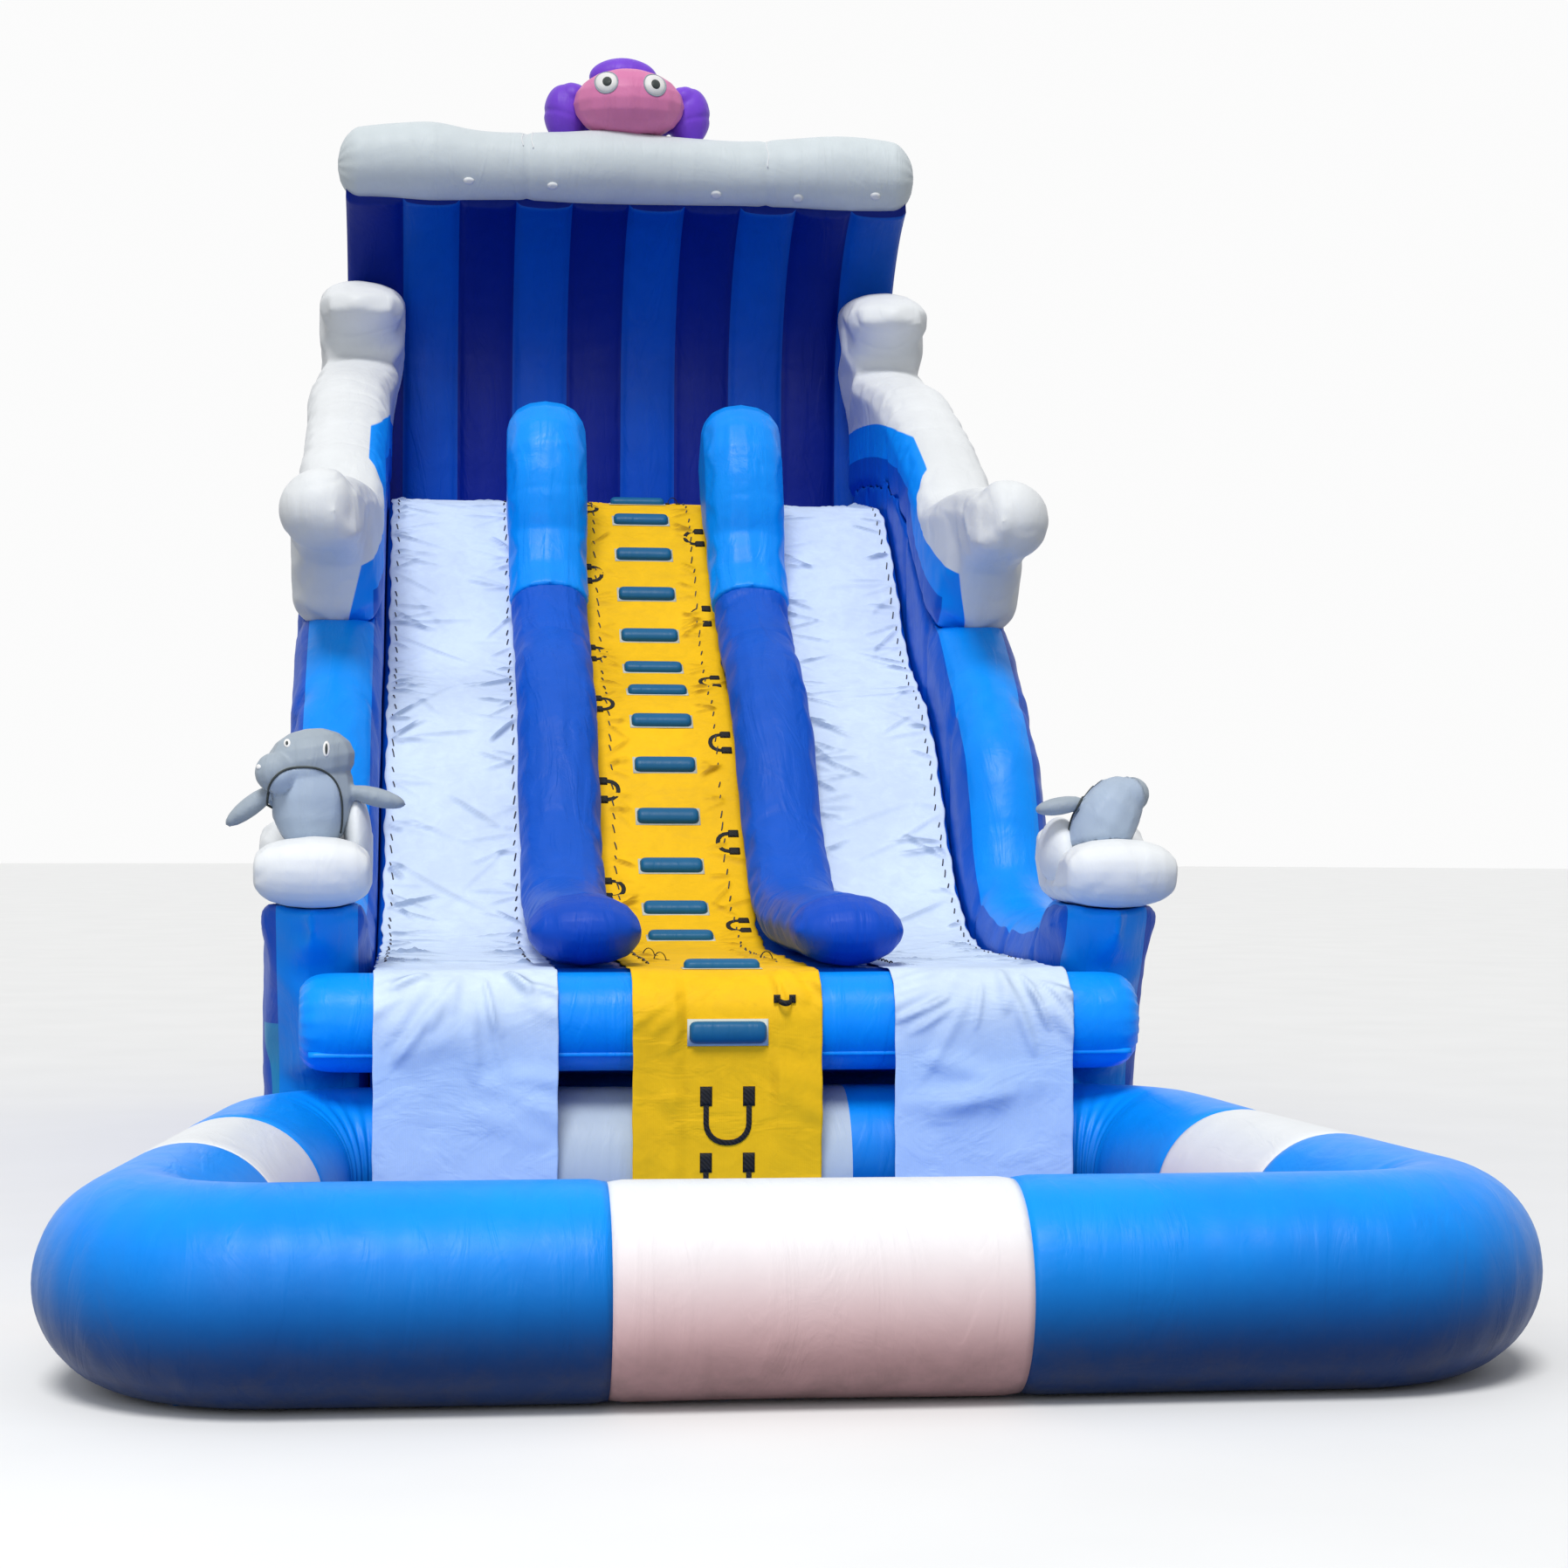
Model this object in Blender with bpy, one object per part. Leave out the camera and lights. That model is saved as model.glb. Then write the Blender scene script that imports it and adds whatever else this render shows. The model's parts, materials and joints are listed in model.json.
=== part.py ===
"""Inflatable water slide with two lanes, a climbing ladder and a splash pool.

Metres, +Z up. The pool is at the front (-Y) and the back wall at +Y. The origin is on the ground,
under the middle of the whole slide.
"""

import math

import bmesh
import bpy
from mathutils import Matrix, Vector
from mathutils.geometry import delaunay_2d_cdt

# Driving dimensions
BODY_WIDTH = 4.84  # over the side walls
LANDING_LENGTH = 2.65  # lip of the landing to the foot of the slope
SLOPE_RUN = 4.25
PLATFORM_LENGTH = 1.85
BACK_WALL_THICKNESS = 0.55
LANDING_HEIGHT = 1.47
PLATFORM_HEIGHT = 4.62
BACK_WALL_HEIGHT = 7.25
POOL_WIDTH = 6.26  # at the front
POOL_REAR_WIDTH = 5.40
POOL_REACH = 4.05  # front of the pool to the lip of the landing
POOL_TUBE_RADIUS = 0.43
POOL_TUBE_STEP = 4  # how finely the tube is rounded
POOL_CORNER_STEPS = 5
POOL_REAR_OFFSET = 0.47  # lip of the landing back to the axis of the pool's rear tube
POOL_CORNER_RADII = (0.54, 0.47)  # along the tube's axis, at the front and at the rear
CLEARANCE = 0.0003  # between surfaces that touch
LIFT = 0.003  # what a loosely laid sheet keeps from the surface under it
FLOOR_OVERRUN = 0.40  # how far a shape runs below the ground before it is cut level

# Landing roll and walls
ROLL_GAP = 0.09  # between the roll and the pool's rear tube under it
ROLL_OVERHANG = 0.25  # the side walls stand this far out past each end of the roll
WALL_THICKNESS = 0.58
WALL_ROUNDING = 0.27
FOAM_THICKNESS = 0.60
SEAM_STEP = 0.012  # the foam stands this far out past the wall
FOAM_ROUNDING = 0.17
FOAM_CAP_ROUNDING = 0.11

# Dividers between the lanes and the ladder
DIVIDER_WIDTH = 0.53
DIVIDER_HEIGHT = 0.40
DIVIDER_ROUNDING = 0.19
DIVIDER_CENTRE = 0.70
HEAD_WIDTH = 0.56
HEAD_HEIGHT = 0.64  # top of a divider head above the platform
FOOT_WIDTH = 0.62
FOOT_LENGTH = 0.62
FOOT_SETBACK = 0.36

# Covers, rungs and webbing
SHEET_THICKNESS = 0.006
LANE_TUCK = 0.105  # how far a lane's cover reaches in under the round of the divider
LANE_EDGE_GAP = 0.028  # between a lane's cover and the side wall
LADDER_COVER_WIDTH = 0.98
DRAPE_BOTTOM = 0.12
FOLD_DEPTH = 0.024
COVER_COLUMNS = 6
RUNG_LENGTH = 0.40
RUNG_WIDTH = 0.115
RUNG_HEIGHT = 0.05
RUNG_PITCH = 0.425
SLOPE_RUNGS = 13
FIRST_RUNG = 0.22  # foot of the slope up to the lowest rung
LIP_RUNG_SETBACK = 0.33
HANGING_RUNG_DROP = 0.30
STRAP_WIDTH = 0.028
STRAP_THICKNESS = 0.004
LOOP_SPAN = 0.15
LOOP_REACH = 0.075
LOOP_LINE = 0.385  # centre plane out to the sewn ends of a ladder loop
U_SPAN = 0.22
U_REACH = 0.20
BEND_SHARE = 0.45  # each bend's radius as a share of the span
U_DROP_SHARES = (0.45, 0.68)  # of the landing's height, from its top down to the sewn ends of each U handle

# Back wall and crest
CHANNELS = 10
BACK_WALL_WIDTH = 4.36
CHANNEL_CROWN = 0.05
CURL_START = 5.70  # height where the wall begins to curl forward
CURL_ANGLE = math.radians(70)
CREST_WIDTH = 4.42
CREST_RADIUS = 0.29

# Figures and the inflation sleeve
OCTOPUS_HEAD_WIDTH = 0.87
OCTOPUS_HEAD_HEIGHT = 0.56
OCTOPUS_HEAD_DEPTH = 0.62
OCTOPUS_SPREAD = 1.26
OCTOPUS_ARM_RADIUS = 0.17
DOLPHIN_HEIGHT = 0.62
DOLPHIN_WIDTH = 0.46
DOLPHIN_DEPTH = 0.40
DOLPHIN_SINK = 0.03  # how deep it is pressed on to its seat
SLEEVE_RADIUS = 0.16
SLEEVE_LENGTH = 0.45
SLEEVE_HEIGHT = 0.55
SLEEVE_WALL = 0.02

# Derived places
HALF_WIDTH = BODY_WIDTH / 2
RISE = PLATFORM_HEIGHT - LANDING_HEIGHT
BACK_FACE = LANDING_LENGTH + SLOPE_RUN + PLATFORM_LENGTH  # measured from the lip
TOTAL_LENGTH = POOL_REACH + BACK_FACE + BACK_WALL_THICKNESS + CLEARANCE + SLEEVE_LENGTH
LIP_Y = POOL_REACH - TOTAL_LENGTH / 2
WALL_CENTRE = HALF_WIDTH - WALL_THICKNESS / 2 - SEAM_STEP
FOAM_CENTRE = HALF_WIDTH - FOAM_THICKNESS / 2
INNER_WALL = WALL_CENTRE - WALL_THICKNESS / 2
LANE_INNER_EDGE = DIVIDER_CENTRE + DIVIDER_WIDTH / 2 - LANE_TUCK
LANE_OUTER_EDGE = INNER_WALL - LANE_EDGE_GAP
LANE_COVER_WIDTH = LANE_OUTER_EDGE - LANE_INNER_EDGE
LANE_CENTRE = (LANE_INNER_EDGE + LANE_OUTER_EDGE) / 2
ROLL_RADIUS = (LANDING_HEIGHT - 2 * POOL_TUBE_RADIUS - ROLL_GAP) / 2
ROLL_HEIGHT = LANDING_HEIGHT - ROLL_RADIUS
CURL_RADIUS = (BACK_WALL_HEIGHT - CURL_START) / math.sin(CURL_ANGLE)
CURL_REACH = CURL_RADIUS * (1 - math.cos(CURL_ANGLE))
CREST_Y = LIP_Y + BACK_FACE + BACK_WALL_THICKNESS / 2 - CURL_REACH

# Outlines as shares of the slope's run and rise, measured from the foot of the slope
SLOPE_SHARES = (
    (-0.10, 0.0), (0.0, 0.006), (0.09, 0.035), (0.17, 0.095), (0.26, 0.205), (0.36, 0.375),
    (0.46, 0.49), (0.57, 0.555), (0.67, 0.64), (0.77, 0.785), (0.87, 0.915), (0.95, 0.98), (1.04, 1.0),
)
WALL_TOP_SHARES = (
    (-0.50, 0.15), (-0.42, 0.15), (-0.35, 0.13), (-0.28, 0.09), (-0.12, 0.09), (0.02, 0.105), (0.11, 0.16),
    (0.15, 0.27), (0.20, 0.40), (0.30, 0.53), (0.41, 0.645), (0.55, 0.79), (0.66, 0.92), (0.75, 1.02), (0.90, 1.12),
    (1.10, 1.18), (1.25, 1.20), (1.47, 1.19),
)
FOAM_SHARES = (
    (1.47, 1.60), (1.38, 1.60), (1.27, 1.575), (1.215, 1.54), (1.195, 1.50), (1.225, 1.46), (1.27, 1.435),
    (1.285, 1.395), (1.21, 1.36), (1.05, 1.30), (0.88, 1.20), (0.77, 1.13), (0.67, 1.06), (0.60, 1.0),
    (0.55, 0.96), (0.46, 0.965), (0.36, 0.955), (0.25, 0.92), (0.205, 0.86), (0.235, 0.80), (0.30, 0.78),
    (0.365, 0.765), (0.41, 0.71), (0.445, 0.655), (0.51, 0.655), (0.60, 0.73), (0.72, 0.86), (0.90, 0.98),
    (1.20, 1.04), (1.47, 1.05),
)
FOAM_CAP_SHARES = (
    (-0.588, 0.165), (-0.578, 0.125), (-0.555, 0.105), (-0.506, 0.10), (-0.42, 0.10), (-0.355, 0.11),
    (-0.332, 0.155), (-0.341, 0.225), (-0.365, 0.258), (-0.40, 0.25), (-0.435, 0.219), (-0.482, 0.212),
    (-0.518, 0.222), (-0.555, 0.218), (-0.58, 0.20),
)
HEAD_SHARES = (
    (0.70, 0.90), (0.705, 0.97), (0.735, 1.10), (0.79, 1.19), (0.86, 1.205), (0.92, 1.16), (0.955, 1.09),
    (0.965, 1.03),
)
DOLPHIN_SEAT_SHARE = (-0.48, 0.212)
# Each form's name ending, place and full size as shares of the dolphin's size, and turns in degrees;
# +X is towards the outer side. The left one looks ahead, the right one leans outwards and looks up.
DOLPHIN_FORMS = {
    "left": (
        ("", (0.0, 0.0, 0.42), (0.96, 0.98, 0.92), (0, 0)),
        ("_head_guide", (0.03, -0.03, 0.73), (1.02, 1.0, 0.54), (0, 10)),
        ("_snout_guide", (0.42, -0.36, 0.62), (0.46, 0.50, 0.34), (16, 24)),
        ("_outer_flipper_guide", (0.70, -0.10, 0.34), (0.72, 0.36, 0.17), (0, 38)),
        ("_inner_flipper_guide", (-0.70, -0.10, 0.42), (0.72, 0.36, 0.17), (0, -14)),
    ),
    "right": (
        ("", (-0.043, 0.0, 0.221), (0.783, 0.95, 0.903), (0, 30)),
        ("_head_guide", (0.272, -0.05, 0.471), (0.435, 0.60, 0.323), (0, 30)),
        ("_inner_flipper_guide", (-0.587, -0.10, 0.371), (0.62, 0.36, 0.16), (0, -10)),
    ),
}
SEAM_SHARE = 0.70  # where a divider's head meets the divider
RIM_SHARES = (0.0, 0.10, 0.34, 0.70, 1.0)
CREST_LUMP_SHARES = (0.55, 0.86, 1.05, 1.10, 1.0, 0.95, 0.99, 1.04, 1.0, 0.95, 0.93, 0.98, 1.03, 0.96, 0.80, 0.48)

# Colours, linear RGB
BRIGHT_BLUE = (0.003, 0.262, 1.0)
DEEP_BLUE = (0.004, 0.115, 0.72)
DIVIDER_BLUE = (0.014, 0.085, 0.58)
WALL_BLUE = (0.002, 0.06, 0.42)
YELLOW = (0.95, 0.58, 0.02)
RUNG_BLUE = (0.008, 0.10, 0.26)
SHEET_WHITE = (0.75, 0.83, 0.97)
FOAM_WHITE = (0.87, 0.88, 0.90)
GREY = (0.26, 0.29, 0.31)
PURPLE = (0.16, 0.045, 0.58)
PINK = (0.52, 0.11, 0.33)
WEBBING_BLACK = (0.012, 0.012, 0.014)


def clear_scene():
    for obj in list(bpy.data.objects):
        bpy.data.objects.remove(obj, do_unlink=True)


def new_collection(name):
    collection = bpy.data.collections.new(name)
    bpy.context.scene.collection.children.link(collection)
    return collection


def new_material(name, colour, roughness=0.42):
    material = bpy.data.materials.new(name)
    material.use_nodes = True
    surface = material.node_tree.nodes["Principled BSDF"]
    surface.inputs["Base Color"].default_value = (*colour, 1)
    surface.inputs["Roughness"].default_value = roughness
    surface.inputs["Metallic"].default_value = 0
    return material


def add_object(name, data, material, collection):
    obj = bpy.data.objects.new(name, data)
    data.materials.append(material)
    collection.objects.link(obj)
    return obj


def finish_mesh(mesh, crease_degrees=50):
    mesh.shade_smooth()
    mesh.set_sharp_from_angle(angle=math.radians(crease_degrees))


def to_mesh_object(curve_object, collection):
    """The curve as a closed mesh under the same name, so that it can be cut."""
    bpy.context.view_layer.update()
    graph = bpy.context.evaluated_depsgraph_get()
    mesh = bpy.data.meshes.new_from_object(curve_object.evaluated_get(graph))
    work = bmesh.new()
    work.from_mesh(mesh)
    bmesh.ops.remove_doubles(work, verts=work.verts, dist=CLEARANCE / 10)
    bmesh.ops.recalc_face_normals(work, faces=work.faces)
    bmesh.ops.triangulate(work, faces=work.faces)
    work.to_mesh(mesh)
    work.free()
    name = curve_object.name
    matrix = curve_object.matrix_world.copy()
    bpy.data.objects.remove(curve_object, do_unlink=True)
    obj = bpy.data.objects.new(name, mesh)
    obj.matrix_world = matrix
    collection.objects.link(obj)
    finish_mesh(mesh)
    return obj


def cut(target, tool, cutters, gap=CLEARANCE):
    """Cuts the tool's shape, grown by the gap, out of the target."""
    cutter = tool.copy()
    cutter.data = tool.data.copy()
    cutter.name = target.name + "_cutter_" + tool.name
    cutters.objects.link(cutter)
    grow = cutter.modifiers.new("grow", "DISPLACE")
    grow.mid_level = 0
    grow.strength = 2 * gap
    cutter.hide_render = True
    cutter.display_type = "WIRE"
    modifier = target.modifiers.new("cut_" + tool.name, "BOOLEAN")
    modifier.operation = "DIFFERENCE"
    modifier.object = cutter
    return modifier


def join(target, tool, cutters):
    """Joins a helper's shape to the target and keeps the helper as a guide."""
    for collection in list(tool.users_collection):
        collection.objects.unlink(tool)
    cutters.objects.link(tool)
    tool.hide_render = True
    tool.display_type = "WIRE"
    modifier = target.modifiers.new("join_" + tool.name, "BOOLEAN")
    modifier.operation = "UNION"
    modifier.object = tool


def smooth_points(points, steps, closed=False):
    """Points along a Catmull-Rom curve through the given ones."""
    points = [Vector(p) for p in points]
    count = len(points)
    result = []
    spans = count if closed else count - 1
    for i in range(spans):
        if closed:
            a, b, c, d = (points[(i + k) % count] for k in (-1, 0, 1, 2))
        else:
            b, c = points[i], points[i + 1]
            a = points[i - 1] if i else 2 * b - c
            d = points[i + 2] if i + 2 < count else 2 * c - b
        for k in range(steps):
            t = k / steps
            result.append(
                0.5 * ((2 * b) + (c - a) * t + (2 * a - 5 * b + 4 * c - d) * t**2 + (3 * b - a - 3 * c + d) * t**3)
            )
    if not closed:
        result.append(points[-1])
    return result


def from_foot(y_share, rise_share):
    """A place in the side view, as shares of the slope's run and rise."""
    return Vector((LIP_Y + LANDING_LENGTH + y_share * SLOPE_RUN, LANDING_HEIGHT + rise_share * RISE))


def from_lip(setback, height):
    return Vector((LIP_Y + setback, height))


def surface_path(steps):
    """The top of the body in the side view, from the lip over the slope to the back wall."""
    slope = smooth_points([from_foot(*share) for share in SLOPE_SHARES], steps)
    return [*slope, from_lip(BACK_FACE, PLATFORM_HEIGHT)]


def offset_path(path, distance):
    """The path moved to its left-hand side, which is upwards for a path that runs back."""
    result = []
    for i, point in enumerate(path):
        before = path[max(i - 1, 0)]
        after = path[min(i + 1, len(path) - 1)]
        along = (after - before).normalized()
        result.append(point + distance * Vector((-along.y, along.x)))
    return result


def along_path(path, distance):
    """The point at a distance along the path, and the path's direction there."""
    for a, b in zip(path, path[1:]):
        step = (b - a).length
        if distance <= step:
            return a + (b - a) * (distance / step), (b - a).normalized()
        distance -= step
    return path[-1], (path[-1] - path[-2]).normalized()


def seat_on(path, distance, span):
    """The chord of a span of the path, raised until it clears the path: its middle and direction."""
    start, _ = along_path(path, distance - span / 2)
    end, _ = along_path(path, distance + span / 2)
    direction = (end - start).normalized()
    normal = Vector((-direction.y, direction.x))
    steps = 96
    samples = [along_path(path, distance + span * (k / steps - 0.5))[0] for k in range(steps + 1)]
    lift = max((sample - start).dot(normal) for sample in samples)
    return (start + end) / 2 + normal * lift, direction


def distance_to_outline(point, outline):
    nearest = math.inf
    for a, b in zip(outline, outline[1:] + outline[:1]):
        side = b - a
        share = max(0.0, min(1.0, (point - a).dot(side) / side.length_squared))
        nearest = min(nearest, (point - a - side * share).length)
    return nearest


def with_shorter_sides(outline, longest):
    """The outline with points put in wherever a side is longer than this."""
    result = []
    for a, b in zip(outline, outline[1:] + outline[:1]):
        parts = math.ceil((b - a).length / longest)
        result += [a + (b - a) * (k / parts) for k in range(parts)]
    return result


def pillow(name, outline, centre_x, thickness, rounding, material, collection, trims=()):
    """An inflated slab: a side-view outline whose rim is rounded over towards both sides.

    Each trim is a point and a direction in the side view: what lies beyond the point that way goes.
    """
    outline = with_shorter_sides(outline, 1.4 * rounding)
    count = len(outline)
    places = [Vector(p) for p in outline]
    heights = [0.0] * count
    area = sum(a.x * b.y - b.x * a.y for a, b in zip(outline, outline[1:] + outline[:1]))
    turn = 1 if area > 0 else -1
    for share in RIM_SHARES[1:]:
        depth = share * rounding
        stride = 1 if share < 0.5 else 2
        for i in range(0, count, stride):
            along = (outline[(i + 1) % count] - outline[i - 1]).normalized()
            place = outline[i] + turn * depth * Vector((-along.y, along.x))
            if distance_to_outline(place, outline) > 0.97 * depth:
                places.append(place)
                heights.append(thickness / 2 * math.sqrt(1 - (1 - share) ** 2))
    points, _, faces, origins, _, _ = delaunay_2d_cdt(places, [], [list(range(count))], 1, CLEARANCE / 10)
    lift = [max((heights[o] for o in origin), default=0.0) for origin in origins]
    work = bmesh.new()
    top = [work.verts.new((h, p.x, p.y)) for p, h in zip(points, lift)]
    bottom = [v if h == 0 else work.verts.new((-h, *v.co.yz)) for v, h in zip(top, lift)]
    for face in faces:
        if all(lift[i] == 0 for i in face):
            continue
        work.faces.new([top[i] for i in face])
        work.faces.new([bottom[i] for i in reversed(face)])
    bmesh.ops.delete(work, geom=[v for v in work.verts if not v.link_faces], context="VERTS")
    for point, direction in trims:
        trim(work, point, direction)
    bmesh.ops.recalc_face_normals(work, faces=work.faces)
    mesh = bpy.data.meshes.new(name)
    work.to_mesh(mesh)
    work.free()
    finish_mesh(mesh)
    obj = add_object(name, mesh, material, collection)
    obj.location.x = centre_x
    return obj


def trim(work, point, direction):
    """Cuts a mesh off square at a line of the side view and closes it there."""
    everything = work.verts[:] + work.edges[:] + work.faces[:]
    place = (0, point.x, point.y)
    normal = (0, direction.x, direction.y)
    bmesh.ops.bisect_plane(work, geom=everything, plane_co=place, plane_no=normal, clear_outer=True)
    rim = [edge for edge in work.edges if edge.is_boundary]
    bmesh.ops.triangle_fill(work, edges=rim, use_beauty=True, use_dissolve=False)


def tube_sides(sides_step):
    return 2 * sides_step + 4


def tube(name, points, radius, material, collection, swell=None, sides_step=3, closed=False):
    """A round tube along the points. Swell gives each point's share of the radius."""
    curve = bpy.data.curves.new(name, "CURVE")
    curve.dimensions = "3D"
    curve.bevel_depth = radius
    curve.bevel_resolution = sides_step
    curve.use_fill_caps = True
    curve.twist_mode = "Z_UP"
    spline = curve.splines.new("POLY")
    spline.points.add(len(points) - 1)
    for i, point in enumerate(points):
        spline.points[i].co = (*point, 1)
        spline.points[i].radius = swell[i] if swell else 1
    spline.use_cyclic_u = closed
    return add_object(name, curve, material, collection)


def loft(name, rings, material, collection, crease_degrees=50):
    """A closed skin over rings of equally many points, with a flat cap at each end."""
    work = bmesh.new()
    rows = [[work.verts.new(point) for point in ring] for ring in rings]
    count = len(rows[0])
    for row, after in zip(rows, rows[1:]):
        for i in range(count):
            k = (i + 1) % count
            work.faces.new((row[i], row[k], after[k], after[i]))
    work.faces.new(rows[0])
    work.faces.new(list(reversed(rows[-1])))
    bmesh.ops.recalc_face_normals(work, faces=work.faces)
    mesh = bpy.data.meshes.new(name)
    work.to_mesh(mesh)
    work.free()
    finish_mesh(mesh, crease_degrees)
    return add_object(name, mesh, material, collection)


def ball(name, centre, size, material, collection, turn=(0, 0, 0), segments=16, rings=10):
    """An ellipsoid of the given full size."""
    mesh = bpy.data.meshes.new(name)
    work = bmesh.new()
    bmesh.ops.create_uvsphere(work, u_segments=segments, v_segments=rings, radius=1)
    stretch = Matrix.Diagonal((*(Vector(size) / 2), 1))
    rotation = Matrix.Rotation(turn[2], 4, "Z") @ Matrix.Rotation(turn[1], 4, "Y") @ Matrix.Rotation(turn[0], 4, "X")
    bmesh.ops.transform(work, matrix=rotation @ stretch, verts=work.verts)
    work.to_mesh(mesh)
    work.free()
    finish_mesh(mesh)
    obj = add_object(name, mesh, material, collection)
    obj.location = centre
    return obj


# Pool


def pool_corners():
    """Centre, radius, start angle and sweep of the axis's four corners, from the front right one."""
    front = LIP_Y - POOL_REACH + POOL_TUBE_RADIUS
    rear = LIP_Y + POOL_REAR_OFFSET
    front_half = POOL_WIDTH / 2 - POOL_TUBE_RADIUS
    rear_half = POOL_REAR_WIDTH / 2 - POOL_TUBE_RADIUS
    corners = [Vector(p) for p in ((front_half, front), (rear_half, rear), (-rear_half, rear), (-front_half, front))]
    result = []
    for i, corner in enumerate(corners):
        back = (corners[i - 1] - corner).normalized()
        ahead = (corners[(i + 1) % len(corners)] - corner).normalized()
        half_angle = back.angle(ahead) / 2
        radius = POOL_CORNER_RADII[corner.y == rear]
        centre = corner + (back + ahead).normalized() * radius / math.sin(half_angle)
        first = corner + back * radius / math.tan(half_angle) - centre
        result.append((centre, radius, math.atan2(first.y, first.x), math.pi - 2 * half_angle))
    return result


def pool_axis(inset=0.0, height=POOL_TUBE_RADIUS):
    """The four rounded corners of the tube's axis, or of a line drawn in from it."""
    loop = []
    for centre, radius, start, sweep in pool_corners():
        bend = radius - inset
        arc = [start + sweep * k / POOL_CORNER_STEPS for k in range(POOL_CORNER_STEPS + 1)]
        loop.append([Vector((centre.x + bend * math.cos(a), centre.y + bend * math.sin(a), height)) for a in arc])
    return loop


def base_setback():
    """The lip of the landing back to the body, whose front rests against the pool's rear tube."""
    _, _, _, sweep = pool_corners()[1]
    tilt = sweep / POOL_CORNER_STEPS / 4
    return POOL_REAR_OFFSET + POOL_TUBE_RADIUS * math.cos(tilt) + 2 * CLEARANCE


def between(a, b, share):
    return a + (b - a) * share


def shortened(points, gap):
    """The run with each end drawn in by the gap."""
    start = points[0] + (points[1] - points[0]).normalized() * gap
    end = points[-1] + (points[-2] - points[-1]).normalized() * gap
    return [start, *points[1:-1], end]


def make_pool(materials, collection):
    front_right, rear_right, rear_left, front_left = pool_axis()
    # Where the white panels end, as shares of the straight runs
    front_white_share = (0.302, 0.683)
    side_white_share = (0.32, 0.70)
    front_a, front_b = front_left[-1], front_right[0]
    right_a, right_b = front_right[-1], rear_right[0]
    left_a, left_b = front_left[0], rear_left[-1]
    white_left = between(front_a, front_b, front_white_share[0])
    white_right = between(front_a, front_b, front_white_share[1])
    cuts = {side: [between(a, b, s) for s in side_white_share]
            for side, a, b in (("left", left_a, left_b), ("right", right_a, right_b))}
    runs = {
        "pool_front_white": ([white_left, white_right], "foam_white"),
        "pool_corner_right": ([white_right, *front_right, cuts["right"][0]], "bright_blue"),
        "pool_side_white_right": (cuts["right"], "foam_white"),
        "pool_rear_tube": ([cuts["right"][1], *rear_right, *rear_left, cuts["left"][1]], "bright_blue"),
        "pool_side_white_left": (list(reversed(cuts["left"])), "foam_white"),
        "pool_corner_left": ([cuts["left"][0], *front_left, white_left], "bright_blue"),
    }
    for name, (points, colour) in runs.items():
        tube(name, shortened(points, CLEARANCE / 2), POOL_TUBE_RADIUS, materials[colour], collection,
             sides_step=POOL_TUBE_STEP)
    make_pool_floor(materials["pool_floor"], collection)


def make_pool_floor(material, collection):
    """The floor sheet reaches in under the round of the tube until it touches."""
    thickness = SHEET_THICKNESS * 4
    lowest_side = math.pi / tube_sides(POOL_TUBE_STEP)
    inset = thickness / math.tan(lowest_side) + 2 * CLEARANCE / math.sin(lowest_side)
    rings = [[point for arc in pool_axis(inset, height) for point in arc] for height in (0, thickness)]
    loft("pool_floor", rings, material, collection)


# Body


def make_base(material, collection):
    """The air chamber under the lanes: landing, slope and platform."""
    path = surface_path(3)
    step_height = 2 * POOL_TUBE_RADIUS + SHEET_THICKNESS
    outline = [
        from_lip(base_setback(), 0),
        from_lip(base_setback(), step_height),
        from_lip(2 * ROLL_RADIUS + CLEARANCE, step_height + ROLL_RADIUS / 4),
        from_lip(2 * ROLL_RADIUS + CLEARANCE, LANDING_HEIGHT),
        *path,
        from_lip(BACK_FACE - CLEARANCE, 0),
    ]
    outline[-2] = from_lip(BACK_FACE - CLEARANCE, PLATFORM_HEIGHT)
    half = INNER_WALL - CLEARANCE
    rings = [[(x, p.x, p.y) for p in outline] for x in (-half, half)]
    return loft("slide_base", rings, material, collection)


def make_roll(material, collection):
    half = HALF_WIDTH - ROLL_OVERHANG
    shoulder = ROLL_RADIUS / 5
    places = (-half, -half + shoulder, half - shoulder, half)
    swell = (0.80, 1, 1, 0.80)
    points = [(x, LIP_Y + ROLL_RADIUS, ROLL_HEIGHT) for x in places]
    return tube("landing_roll", points, ROLL_RADIUS, material, collection, swell=swell, sides_step=4)


def wall_outline():
    """A side wall from the front upright over the wave to the back wall."""
    top = smooth_points([from_foot(*share) for share in WALL_TOP_SHARES], 2)
    upright_top = LANDING_HEIGHT + WALL_TOP_SHARES[0][1] * RISE
    behind_roll = 2 * ROLL_RADIUS + SHEET_THICKNESS
    front = [
        from_lip(base_setback(), -FLOOR_OVERRUN),
        from_lip(base_setback(), ROLL_RADIUS),
        from_lip(base_setback(), 2 * POOL_TUBE_RADIUS),
        from_lip(between(base_setback(), behind_roll, 0.6), ROLL_HEIGHT - ROLL_RADIUS),
        from_lip(behind_roll, ROLL_HEIGHT),
        from_lip(behind_roll, LANDING_HEIGHT),
        from_lip(between(behind_roll, ROLL_RADIUS, 0.8), between(LANDING_HEIGHT, upright_top, 0.35)),
        from_lip(between(behind_roll, ROLL_RADIUS, 1.0), between(LANDING_HEIGHT, upright_top, 0.8)),
    ]
    back = [from_lip(BACK_FACE - CLEARANCE, height) for height in (PLATFORM_HEIGHT, LANDING_HEIGHT, -FLOOR_OVERRUN)]
    top[-1] = from_lip(BACK_FACE - CLEARANCE, top[-1].y)
    outline = front + top + back
    return list(reversed(outline))


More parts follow.
